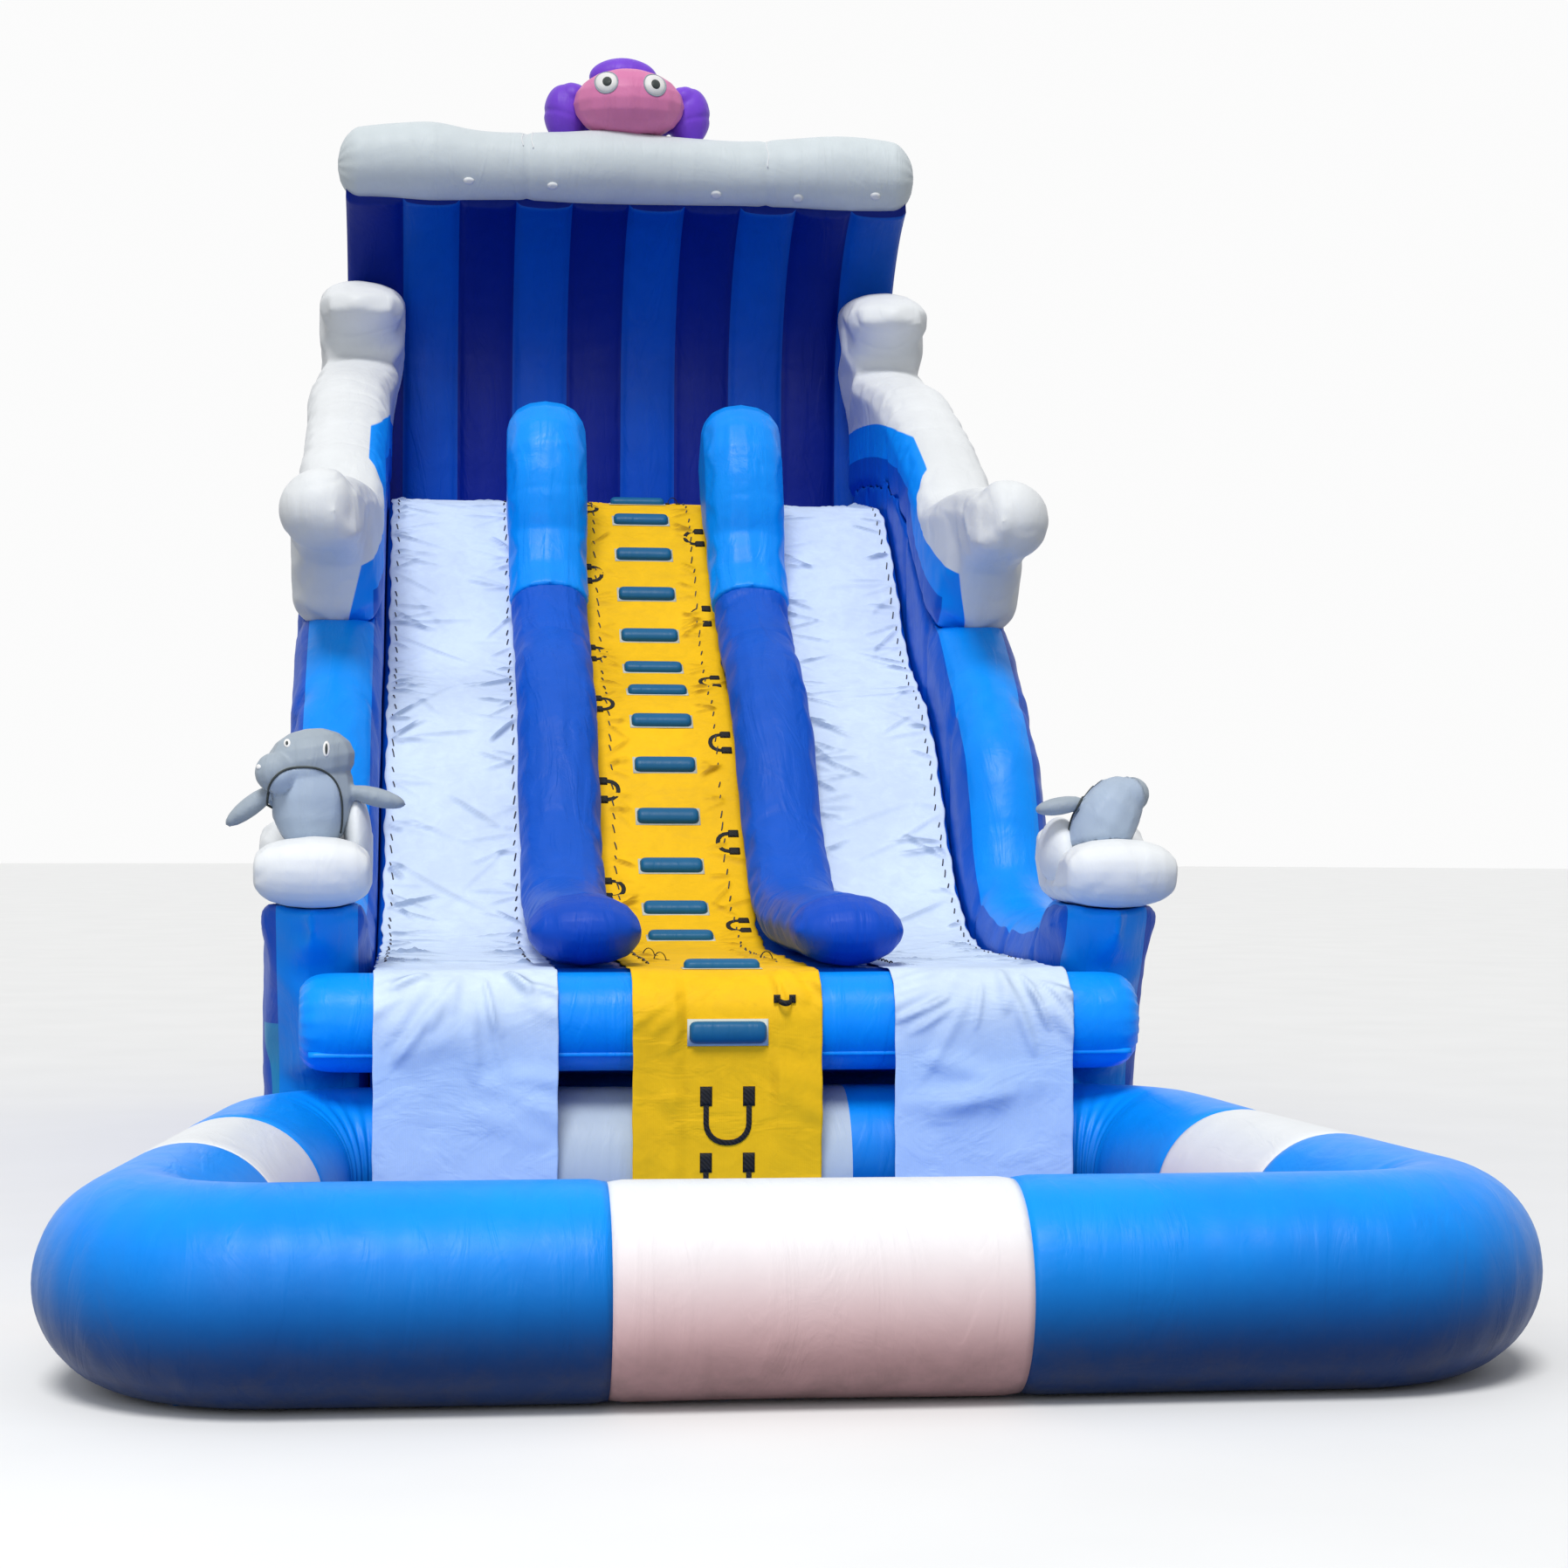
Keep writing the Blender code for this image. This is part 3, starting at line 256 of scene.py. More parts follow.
def long_creases(rng, width, start, end, count, height):
    lines = []
    for _ in range(count):
        v = rng.uniform(start, end)
        u = rng.uniform(0, width)
        angle = rng.uniform(-1.0, 1.0)
        length = rng.uniform(0.25, 0.95)
        lines.append((u, v, u + length * math.cos(angle) * rng.choice([-1, 1]), v + length * math.sin(angle),
                      height * rng.uniform(0.3, 1.0), rng.uniform(0.011, 0.024)))
    return lines


# Meshes


def link(obj):
    bpy.context.scene.collection.objects.link(obj)
    return obj


@contextmanager
def editing(mesh):
    """A mesh's bmesh, written back at the end."""
    work = bmesh.new()
    work.from_mesh(mesh)
    yield work
    work.to_mesh(mesh)
    work.free()


def dressed(name, mesh, materials):
    """A linked object with only these materials."""
    mesh.materials.clear()
    for material in materials if isinstance(materials, list) else [materials]:
        mesh.materials.append(material)
    return link(bpy.data.objects.new(name, mesh))


def mesh_object(name, points, faces, materials, ids=None):
    points = np.array(points, dtype=float)
    points[:, 2] = np.maximum(points[:, 2], GROUND)
    mesh = bpy.data.meshes.new(name)
    mesh.from_pydata([tuple(p) for p in points], [], [tuple(f) for f in faces])
    mesh.validate()
    mesh.shade_smooth()
    obj = dressed(name, mesh, materials)
    if ids is not None:
        mesh.polygons.foreach_set("material_index", np.asarray(ids, dtype=np.int32))
    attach(obj, BODY)
    with editing(mesh) as work:
        bmesh.ops.recalc_face_normals(work, faces=work.faces)
    return obj


def grid(name, rows, materials, ids=None):
    """A skin over rows of points, an array (rows, columns, 3), closed round each row and at both ends."""
    rows = np.asarray(rows)
    count, across = rows.shape[:2]
    i, k = np.arange(count - 1)[:, None], np.arange(across)[None, :]
    n = (k + 1) % across
    faces = np.stack([i * across + k, i * across + n, (i + 1) * across + n, (i + 1) * across + k], axis=-1)
    caps = [list(range(across))[::-1], [(count - 1) * across + j for j in range(across)]]
    if ids is not None:
        ids = np.concatenate([ids.reshape(-1), np.zeros(len(caps))])
    return mesh_object(name, rows.reshape(-1, 3), faces.reshape(-1, 4).tolist() + caps, materials, ids)


def lengthwise(xs, y, z, r, angle):
    """Rows of points round a line along X."""
    rows = np.empty((len(xs), len(angle), 3))
    rows[:, :, 0] = xs[:, None]
    rows[:, :, 1] = y + r * np.cos(angle)
    rows[:, :, 2] = z + r * np.sin(angle)
    return rows


def read(items, field):
    """A field of vectors of a mesh's vertices or faces, as an array."""
    values = np.empty(len(items) * 3, np.float32)
    items.foreach_get(field, values)
    return values.reshape(-1, 3)


def coords(mesh):
    return read(mesh.vertices, "co").astype(np.float64)


def set_coords(mesh, co):
    mesh.vertices.foreach_set("co", co.astype(np.float32).reshape(-1))
    mesh.update()


def swell(obj, shape):
    """Moves the skin along its normals by shape(points, normals)."""
    co, no = coords(obj.data), read(obj.data.vertex_normals, "vector").astype(np.float64)
    co = co + no * shape(co, no)[:, None]
    co[:, 2] = np.maximum(co[:, 2], GROUND)
    set_coords(obj.data, co)


def skinned(name, mesh, forms, voxel, rounds, material):
    """One even, smoothed skin over a mesh and any ellipsoids."""
    if forms:
        with editing(mesh) as work:
            for form in forms:
                ellipsoid(work, *form)
    obj = dressed(name, mesh, material)
    bpy.context.view_layer.update()
    grow = obj.modifiers.new("remesh", "REMESH")
    grow.mode = "VOXEL"
    grow.voxel_size = voxel
    soft = obj.modifiers.new("smooth", "SMOOTH")
    soft.iterations = rounds
    soft.factor = 0.5
    obj.data = bpy.data.meshes.new_from_object(obj.evaluated_get(bpy.context.evaluated_depsgraph_get()))
    obj.modifiers.clear()
    bpy.data.meshes.remove(mesh)
    obj.data.shade_smooth()
    return obj


def puffed(node, voxel, rounds, materials, shape, name="", forms=()):
    """A rounded, finer skin over a node's solid and any ellipsoids, with folds put in by shape."""
    obj = skinned(name or f"{node}_skin", frame["nodes"][node].data.copy(), forms, voxel, rounds, materials)
    swell(obj, shape)
    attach(obj, BODY)
    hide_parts(node)
    return obj


def merged(name, forms, voxel, rounds, material):
    obj = skinned(name, bpy.data.meshes.new(name), forms, voxel, rounds, material)
    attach(obj, BODY)
    return obj


def paint(obj, chooser):
    """Gives each face a material slot by chooser(centres)."""
    ids = chooser(read(obj.data.polygons, "center"))
    obj.data.polygons.foreach_set("material_index", np.asarray(ids, dtype=np.int32))
    obj.data.update()


def split_at(obj, place, normal):
    """Puts a clean edge loop where a plane crosses the mesh."""
    with editing(obj.data) as work:
        everything = work.verts[:] + work.edges[:] + work.faces[:]
        bmesh.ops.bisect_plane(work, geom=everything, plane_co=place, plane_no=normal, dist=0.0005)
    obj.data.shade_smooth()


def ellipsoid(work, centre, size, turn):
    rotation = (Matrix.Rotation(turn[2], 4, "Z") @ Matrix.Rotation(turn[1], 4, "Y")
                @ Matrix.Rotation(turn[0], 4, "X"))
    matrix = Matrix.Translation(centre) @ rotation @ Matrix.Diagonal((*(Vector(size) / 2), 1))
    bmesh.ops.create_uvsphere(work, u_segments=32, v_segments=20, radius=1, matrix=matrix)


def ribbon(name, line, side, material):
    """A flat webbing or vinyl band along a line of points; side is its width's direction."""
    width, thickness = 0.030, 0.004
    line, side = np.asarray(line, dtype=float), np.asarray(side, dtype=float)
    up = unit(np.cross(np.gradient(line, axis=0), side))
    rows = [line + side * (u * width) + up * (h * thickness) for u, h in RIBBON_SECTION]
    return grid(name, np.stack(rows, axis=1), material)


def tube(name, line, radius, material, sides=6):
    """A round cord along a line of points."""
    line = np.asarray([tuple(p) for p in line], dtype=float)
    along = unit(np.gradient(line, axis=0))
    side = np.cross(along[0], (0.3, 0.2, 1.0))
    turns = TURN * np.arange(sides) / sides
    rows = []
    for place, ahead in zip(line, along):
        side = unit(side - ahead * np.dot(side, ahead))
        other = np.cross(ahead, side)
        rows.append(place + radius * (np.cos(turns)[:, None] * side + np.sin(turns)[:, None] * other))
    return grid(name, rows, material)


def skin_tree(obj):
    faces = [tuple(p.vertices) for p in obj.data.polygons]
    return BVHTree.FromPolygons([v.co.copy() for v in obj.data.vertices], faces)


def facing(tree, centre, x, z, aim=0.0):
    """The point and outward normal of a skin's front at (x, z), or nearer to centre where it has none.

    aim turns the side that is looked at towards -X; x is then the place at the dolphins' depth.
    """
    ahead, distance = Vector((math.sin(aim), math.cos(aim), 0)), 38
    for share in np.linspace(1, 0, 21):
        at = Vector((centre[0] + (x - centre[0]) * share, DOLPHIN_Y, centre[1] + (z - centre[1]) * share))
        hit, normal, _, _ = tree.ray_cast(at - ahead * distance, ahead)
        if hit is not None:
            return hit, normal if normal.dot(ahead) < 0 else -normal
    raise ValueError("nothing faces this place")


def on_ellipse(centre, size, angle, share, power, lean):
    """A place on an ellipse, squarer with a higher power, whose top leans to +X."""
    bulge = share * (abs(math.cos(angle)) ** power + abs(math.sin(angle)) ** power) ** (-1 / power)
    across, rise = size[0] / 2 * bulge * math.cos(angle), size[1] / 2 * bulge * math.sin(angle)
    return (centre[0] + across * math.cos(lean) + rise * math.sin(lean),
            centre[1] - across * math.sin(lean) + rise * math.cos(lean))


def patch(name, tree, centre, size, rise, material, rings=6, around=24, power=2.0, lean=0.0, aim=0.0):
    """A low pad sewn on the front of a skin. Its outline is an ellipse, squarer with a higher power."""
    above, sunk = 0.0015, 0.006
    rows = []
    for t in [*np.linspace(0.05, 1, rings), 1.0]:
        row = []
        for a in circle(around):
            point, normal = facing(tree, centre, *on_ellipse(centre, size, a, t, power, lean), aim)
            row.append(tuple(point + normal * (rise * (1 - t**4) + above if len(rows) < rings else -sunk)))
        rows.append(row)
    return grid(name, rows, material)


def rim_cord(name, tree, centre, size, start, end, steps, radius, material, power=2.0, lean=0.0, aim=0.0):
    """A cord along a patch's outline from one angle to another, a little off the skin."""
    line = []
    for a in np.linspace(math.radians(start), math.radians(end), steps):
        point, normal = facing(tree, centre, *on_ellipse(centre, size, a, 1, power, lean), aim)
        line.append(point + normal * 0.002)
    tube(name, line, radius, material)


# Materials


def tinted(colour, amount):
    return tuple(min(1.0, max(0.0, c * (1 + amount))) for c in colour)


def scaled(colour, factor):
    return tuple(c * factor for c in colour)


class Nodes:
    """Short hands for building the node tree of a material or the world."""

    def __init__(self, owner):
        owner.use_nodes = True
        self.owner = owner
        self.tree = owner.node_tree
        self.place = self.new("TexCoord").outputs["Object"]

    def new(self, kind, **values):
        """A shader node; each value is for the property or else the input of that name."""
        node = self.tree.nodes.new("ShaderNode" + kind)
        for key, value in values.items():
            if hasattr(node, key):
                setattr(node, key, value)
            else:
                node.inputs[key].default_value = value
        return node

    def put(self, value, socket):
        """Gives a socket a number, a colour or another socket's value."""
        if isinstance(value, (int, float)):
            socket.default_value = value
        elif isinstance(value, tuple):
            socket.default_value = (*value, 1)
        else:
            self.tree.links.new(value, socket)

    def axis(self, axis):
        node = self.new("SeparateXYZ")
        self.put(self.place, node.inputs[0])
        return node.outputs[axis]

    def texture(self, kind, stretch=None, **values):
        """A texture's value over the object's coordinates, stretched or not."""
        node = self.new(kind, **values)
        vector = self.place
        if stretch:
            mapping = self.new("Mapping", Scale=stretch)
            self.put(vector, mapping.inputs["Vector"])
            vector = mapping.outputs["Vector"]
        self.put(vector, node.inputs["Vector"])
        return node.outputs["Fac"]

    def noise(self, scale, detail=3, rough=0.5, stretch=None, distort=0.0):
        return self.texture("TexNoise", stretch, Scale=scale, Detail=detail, Roughness=rough,
                            Distortion=distort)

    def curve(self, value, points):
        """A smooth curve from 0 to 1 through the points."""
        node = self.new("FloatCurve")
        line = node.mapping.curves[0]
        line.points[0].location, line.points[-1].location = points[0], points[-1]
        for point in points[1:-1]:
            line.points.new(*point)
        node.mapping.update()
        self.put(value, node.inputs["Value"])
        return node.outputs["Value"]

    def math(self, kind, *values, clamp=False):
        node = self.new("Math", operation=kind, use_clamp=clamp)
        for socket, value in zip(node.inputs, values):
            self.put(value, socket)
        return node.outputs[0]

    def times(self, a, b):
        return self.math("MULTIPLY", a, b)

    def blend(self, a, factor, b):
        return self.math("MULTIPLY_ADD", a, factor, b)

    def ramp(self, value, low, high, out_low=0.0, out_high=1.0):
        node = self.new("MapRange", interpolation_type="SMOOTHSTEP",
                        **{"From Min": low, "From Max": high, "To Min": out_low, "To Max": out_high})
        self.put(value, node.inputs["Value"])
        return node.outputs["Result"]

    def mix(self, share, a, b):
        node = self.new("Mix", data_type="RGBA")
        for name, kind, value in (("Factor", "VALUE", share), ("A", "RGBA", a), ("B", "RGBA", b)):
            self.put(value, next(s for s in node.inputs if s.name == name and s.type == kind))
        return next(s for s in node.outputs if s.type == "RGBA")

    def bump(self, height, distance, strength, below=None):
        node = self.new("Bump", Distance=distance, Strength=strength)
        self.put(height, node.inputs["Height"])
        if below is not None:
            self.put(below, node.inputs["Normal"])
        return node.outputs["Normal"]

    def camera_rays(self):
        """1 for the rays that show the background, and 0 for those that light the object."""
        rays = self.new("LightPath").outputs
        straight = self.math("MAXIMUM", rays["Is Camera Ray"], rays["Is Glossy Ray"])
        return self.math("MAXIMUM", straight, rays["Is Transmission Ray"])

    def surface(self, colour, roughness, normal, specular):
        inputs = self.tree.nodes["Principled BSDF"].inputs
        self.put(colour, inputs["Base Color"])
        self.put(roughness, inputs["Roughness"])
        if normal is not None:
            self.put(normal, inputs["Normal"])
        self.put(specular, inputs["Specular IOR Level"])
        return self.owner


def new_material(name):
    return Nodes(bpy.data.materials.new(name))


def vinyl(name, colour, roughness=0.38, wrinkle=1.0, seam_pitch=None, weave=1.0, dirt=True, fade=0.10,
          low=None, finish=None):
    """Coated woven fabric: faded colour, fine weave, soft buckles, welded or sewn seams, ground dirt and,
    with low, painted shade towards the ground.

    seam_pitch is (axis, pitch, start) of evenly spaced seams; low is the colour of the painted shade near the
    ground.
    """
    n = new_material(name)
    broad = n.noise(0.55, 3, 0.55)
    tone = n.blend(broad, 0.7, n.times(n.noise(5.5, 4, 0.6), 0.3))
    look = n.mix(n.ramp(tone, 0.32, 0.68), tinted(colour, -fade), tinted(colour, fade * 0.7))
    # pale rubbed threads
    scuffs = n.ramp(n.noise(26, 5, 0.72, stretch=(1, 0.35, 1.6)), 0.66, 0.80)
    look = n.mix(n.times(scuffs, 0.08), look, tuple(0.7 * c + 0.2 for c in colour))
    # painted shade: the skin darkens towards the ground, mixing to the low colour
    if low:
        painted_low_shade = n.ramp(n.blend(broad, 0.10, n.axis("Z")), 0.20, 0.90, 0.93, 0.0)
        look = n.mix(painted_low_shade, look, low)
    # woven base cloth showing through the coating
    threads = [n.texture("TexWave", stretch, Scale=95, Distortion=0.6, Detail=1)
               for stretch in ((1, 0.02, 0.02), (0.02, 0.02, 1))]
    normal = n.bump(n.math("MAXIMUM", *threads), 0.0006 * weave, 0.35)
    # buckles of a skin under air pressure
    long_folds = n.ramp(n.noise(1.7, 4, 0.5, stretch=(2.6, 0.8, 0.6), distort=2.2), 0.42, 0.62)
    normal = n.bump(n.noise(3.2, 4, 0.55, distort=1.2), 0.018 * wrinkle, 0.5, normal)
    normal = n.bump(long_folds, 0.006 * wrinkle, 0.5, normal)
    if seam_pitch:
        axis, pitch, start = seam_pitch
        moved = n.math("DIVIDE", n.math("SUBTRACT", n.axis(axis), start), pitch)
        near = n.math("ABSOLUTE", n.math("SUBTRACT", moved, n.math("ROUND", moved)))
        away = n.times(near, pitch)
        seam = n.ramp(away, 0.0, 0.012, 1.0, 0.0)
        pucker = n.times(n.noise(24, 2, 0.5), n.ramp(away, 0.0, 0.14, 1.0, 0.0))
        normal = n.bump(pucker, 0.014, 0.8, normal)
        normal = n.bump(n.math("SUBTRACT", 1.0, seam), 0.006, 0.9, normal)
        look = n.mix(n.times(seam, 0.55), look, scaled(colour, 0.42))
    if dirt:
        splashed = n.times(n.ramp(n.axis("Z"), 0.0, 0.42, 1.0, 0.0), n.ramp(n.noise(6, 5, 0.65), 0.35, 0.75))
        look = n.mix(n.times(splashed, 0.32), look, DIRT)
    if finish:
        look = finish(n, look)
    return n.surface(look, n.blend(n.noise(9, 4, 0.6), 0.22, roughness - 0.08), normal, 0.18)


def wave_scale(pitch):
    """The Scale of a wave texture whose bands are about one pitch apart."""
    return 1 / pitch / 6.3


def cloth(name, colour, roughness=0.62, shade=(0.5, 0.6, 0.8), fold_darkening=0.06, low=None):
    """Thin coated sheet: crumpled, with painted shade in its folds and rubbed places.

    low is a painted bluish reflection tinting the end that hangs in the pool.
    """
    n = new_material(name)
    broad = n.noise(1.1, 4, 0.55)
    small = n.noise(11, 5, 0.62, distort=0.6)
    look = n.mix(n.ramp(n.blend(broad, 0.6, n.times(small, 0.4)), 0.34, 0.66),
                 tinted(colour, -0.10), tinted(colour, 0.05))
    # painted shade: a pattern of folds is darkened towards colour times shade
    fold_shade = n.ramp(n.noise(7.5, 5, 0.6, stretch=(1.0, 1.9, 1.9), distort=1.8), 0.60, 0.74)
    look = n.mix(n.times(fold_shade, fold_darkening), look, tuple(c * s for c, s in zip(colour, shade)))
    look = n.mix(n.times(n.ramp(n.noise(2.3, 5, 0.7), 0.55, 0.8), 0.14), look, scaled(colour, 0.55))
    # painted reflection: the hanging end is tinted bluish towards low
    if low:
        look = n.mix(n.ramp(n.blend(broad, 0.25, n.axis("Z")), 1.05, 1.52, 0.62, 0.0), look, low)
    # painted shade: steep folds and crease lines are darkened through the fold_shade attribute
    drawn = n.new("Attribute", attribute_name="fold_shade").outputs["Fac"]
    look = n.mix(n.times(n.ramp(drawn, 0.05, 0.9), 0.75), look,
                 tuple(c * s * 0.62 for c, s in zip(colour, shade)))
    normal = n.bump(n.texture("TexWave", Scale=wave_scale(0.004)), 0.0005, 0.3)
    normal = n.bump(n.noise(4.0, 5, 0.55, distort=0.9), 0.012, 0.45, normal)
    crumples = n.ramp(n.noise(2.2, 3, 0.5, stretch=(0.8, 1.6, 1.6), distort=2.0), 0.40, 0.64)
    normal = n.bump(crumples, 0.006, 0.4, normal)
    return n.surface(look, n.blend(small, 0.25, roughness - 0.12), normal, 0.15)


def inner_wall_band(n, colour):
    """The blue inner face and rounded edge of the wall that come up in front of the white foam."""
    share = n.math("MULTIPLY_ADD", n.axis("Y"), 1 / 5.2, -0.8 / 5.2, clamp=True)
    edge = ((0.0, 0.0), (0.16, 0.19), (0.29, 0.40), (0.37, 0.64), (0.52, 0.80), (0.73, 0.90), (1.0, 0.94))
    under = n.math("SUBTRACT", n.blend(n.curve(share, edge), 1.85, 3.65), n.axis("Z"))
    across = n.math("ABSOLUTE", n.axis("X"))
    drop = n.math("SUBTRACT", 3.98, n.axis("Z"), clamp=True)
    inner = n.ramp(n.blend(drop, -0.26, across), 1.938, 1.946, 1.0, 0.0)
    band = n.times(inner, n.ramp(under, 0.0, 0.010))
    deep = n.times(n.ramp(across, 1.886, 1.894, 1.0, 0.0), n.ramp(under, 0.25, 0.26))
    return n.mix(deep, n.mix(band, colour, BRIGHT_BLUE), DEEP_BLUE)


def webbing(name, colour):
    """Ribbed woven band."""
    n = new_material(name)
    ribs = n.texture("TexWave", bands_direction="DIAGONAL", Scale=wave_scale(0.006), Distortion=0.8)
    fuzz = n.noise(180, 2, 0.5)
    look = n.mix(n.ramp(ribs, 0.2, 0.8), scaled(colour, 0.5), tuple(c * 2.0 + 0.002 for c in colour))
    look = n.mix(n.times(n.ramp(n.noise(9, 4, 0.6), 0.5, 0.8), 0.25), look, (0.035, 0.034, 0.032))
    normal = n.bump(fuzz, 0.0008, 0.6, n.bump(ribs, 0.0012, 0.8))
    return n.surface(look, n.blend(fuzz, 0.2, 0.62), normal, 0.3)


def thread(name, colour):
    n = new_material(name)
    twist = n.noise(160, 3, 0.6)
    look = n.mix(twist, scaled(colour, 0.6), scaled(colour, 1.3))
    return n.surface(look, n.blend(twist, 0.2, 0.55), n.bump(twist, 0.001, 0.8), 0.5)


M = {
    "bright": vinyl("bright_blue_vinyl", BRIGHT_BLUE, 0.34, 0.8),
    # painted shade: the blue tubes darken to deep navy towards the ground
    "pool": vinyl("pool_blue_vinyl", BRIGHT_BLUE, 0.36, 0.45, low=(0.001, 0.020, 0.13)),
    # painted shade and a painted pinkish reflection on the white panels towards the ground
    "pool_white": vinyl("pool_white_vinyl", FOAM_WHITE, 0.40, 0.45, fade=0.05, low=(0.74, 0.42, 0.43)),
    # painted shade: a darker grey-blue copy of the pool's white for the rear panel under the landing roll
    "rear_white_shaded": vinyl("pool_rear_white_shaded_vinyl", (0.46, 0.55, 0.66), 0.40, 0.45, fade=0.05),
    "pool_floor": vinyl("pool_floor_vinyl", (0.003, 0.20, 0.80), 0.40, 0.9, ("X", 1.3, 0.65), dirt=False),
    "deep": vinyl("deep_blue_vinyl", DEEP_BLUE, 0.40, 1.0),
    "outer": vinyl("outer_wall_vinyl", (0.003, 0.085, 0.56), 0.42, 1.0,
                   ("Y", WALL_PANEL_PITCH, WALL_PANEL_START)),
    "divider": vinyl("divider_vinyl", DIVIDER_BLUE, 0.44, 1.2),
    "foot": vinyl("divider_foot_vinyl", FOOT_BLUE, 0.42, 1.2),
    "navy": vinyl("navy_stripe_vinyl", NAVY, 0.42, 0.8),
    "stripe": vinyl("blue_stripe_vinyl", STRIPE_BLUE, 0.42, 0.8),
    "foam": vinyl("foam_white_vinyl", FOAM_WHITE, 0.44, 0.45, fade=0.05),
    "wave": vinyl("wave_foam_vinyl", FOAM_WHITE, 0.44, 0.45, fade=0.05, finish=inner_wall_band),
    "crest": vinyl("crest_white_vinyl", (0.64, 0.71, 0.75), 0.44, 0.7, fade=0.06),
    # painted reflection: the lanes' hanging ends take a bluish tint
    "lane": cloth("lane_sheet", SHEET_WHITE, low=(0.34, 0.56, 0.95)),
    "ladder": cloth("ladder_sheet", YELLOW, shade=(0.55, 0.46, 0.5), fold_darkening=0.18),
    "rung": vinyl("rung_vinyl", RUNG_BLUE, 0.34, 0.35, weave=0.5),
    "piping": vinyl("rung_flange", (0.62, 0.66, 0.60), 0.5, 0.4),
    "grey": vinyl("figure_grey_vinyl", GREY, 0.42, 0.8, dirt=False),
    "belly": vinyl("figure_belly_vinyl", BELLY, 0.42, 0.8, dirt=False),
    "purple": vinyl("figure_purple_vinyl", PURPLE, 0.38, 0.9, dirt=False),
    "pink": vinyl("figure_pink_vinyl", PINK, 0.40, 0.7, dirt=False),
    "eye": vinyl("eye_white_vinyl", (0.86, 0.86, 0.86), 0.35, 0.2, dirt=False),
    "pupil": vinyl("eye_dark_vinyl", (0.05, 0.06, 0.06), 0.35, 0.2, dirt=False),
    "black": webbing("webbing", BLACK),
    "lace": thread("lacing_thread", (0.05, 0.05, 0.06)),
    "turquoise": vinyl("turquoise_vinyl", (0.02, 0.30, 0.62), 0.40, 0.6),
    "sleeve": cloth("sleeve_fabric", (0.016, 0.017, 0.02), roughness=0.7, shade=(0.5, 0.5, 0.5)),
}


# Camera, light and stage


def make_camera():
    """The camera fitted to the photograph; its focal length is in pixels of the photograph."""
    focal, pixels, sensor = 3400, 1796, 36
    place = (-1.524, -15.107 + LIP_Y, 2.229)
    yaw, pitch, roll = math.radians(6.83), math.radians(0.794), math.radians(0.201)
    ahead = Vector((math.sin(yaw) * math.cos(pitch), math.cos(yaw) * math.cos(pitch), math.sin(pitch)))
    right = Vector((math.cos(yaw), -math.sin(yaw), 0))
    up = right.cross(ahead)
    right, up = right * math.cos(roll) + up * math.sin(roll), up * math.cos(roll) - right * math.sin(roll)
    data = bpy.data.cameras.new("camera")
    data.sensor_fit = "HORIZONTAL"
    data.sensor_width = sensor
    data.lens = focal / pixels * sensor
    data.clip_end = 200
    camera = link(bpy.data.objects.new("camera", data))
    camera.matrix_world = Matrix.Translation(place) @ Matrix((right, up, -ahead)).transposed().to_4x4()
    bpy.context.scene.camera = camera


def light(name, kind, power, colour, direction):
    data = bpy.data.lights.new(name, kind)
    data.energy = power
    data.color = colour
    lamp = link(bpy.data.objects.new(name, data))
    lamp.rotation_euler = direction.to_track_quat("-Z", "Y").to_euler()
    return lamp


def make_stage():
    world = bpy.data.worlds.new("studio")
    bpy.context.scene.world = world
    n = Nodes(world)
    back = n.tree.nodes["Background"].inputs
    back["Color"].default_value = (1, 1, 1, 1)
    n.put(n.ramp(n.camera_rays(), 0, 1, 0.42, 0.97), back["Strength"])

    mesh = bpy.data.meshes.new("floor")
    radius, count = 150, 128
    rim = [(radius * math.cos(TURN * k / count), radius * math.sin(TURN * k / count), -0.001)
           for k in range(count)]
    mesh.from_pydata(rim, [], [tuple(range(count))])
    n = new_material("floor_pale")
    pale = n.mix(n.noise(0.8, 3, 0.5), (0.80, 0.81, 0.82), (0.86, 0.87, 0.88))
    look = n.mix(n.camera_rays(), (0.22, 0.23, 0.25), pale)
    floor = dressed("floor", mesh, n.surface(look, 0.75, None, 0.1))

    sun = light("sun", "SUN", 2.2, (1.0, 0.985, 0.96), Vector((0.14, 0.60, -1.0)))
    sun.data.angle = math.radians(20)
    place, target = Vector((-5, -15, 6)), Vector((0, 0, 3.5))
    fill = light("fill", "AREA", 420, (0.93, 0.97, 1.0), target - place)
    fill.location = place
    fill.data.shape = "DISK"
    fill.data.size = 9


# Pool


def pool_loop():
    """The middle line of the pool's tube: the points of its four bends."""
    steps, radius = 14, POOL_BEND
    front, rear = LIP_Y - POOL_REACH + TUBE_RADIUS, LIP_Y + POOL_BACK
    half = [width / 2 - TUBE_RADIUS for width in POOL_WIDTHS]
    corners = [Vector(p) for p in ((half[0], front), (half[1], rear), (-half[1], rear), (-half[0], front))]
    loop = []
    for i, corner in enumerate(corners):
        back = (corners[i - 1] - corner).normalized()
        ahead = (corners[(i + 1) % 4] - corner).normalized()
        half_angle = back.angle(ahead) / 2
        centre = corner + (back + ahead).normalized() * radius / math.sin(half_angle)
        first = corner + back * radius / math.tan(half_angle) - centre
        start, sweep = math.atan2(first.y, first.x), math.pi - 2 * half_angle
        loop.append([Vector((centre.x + radius * math.cos(a), centre.y + radius * math.sin(a)))
                     for a in (start + sweep * k / steps for k in range(steps + 1))])
    return loop


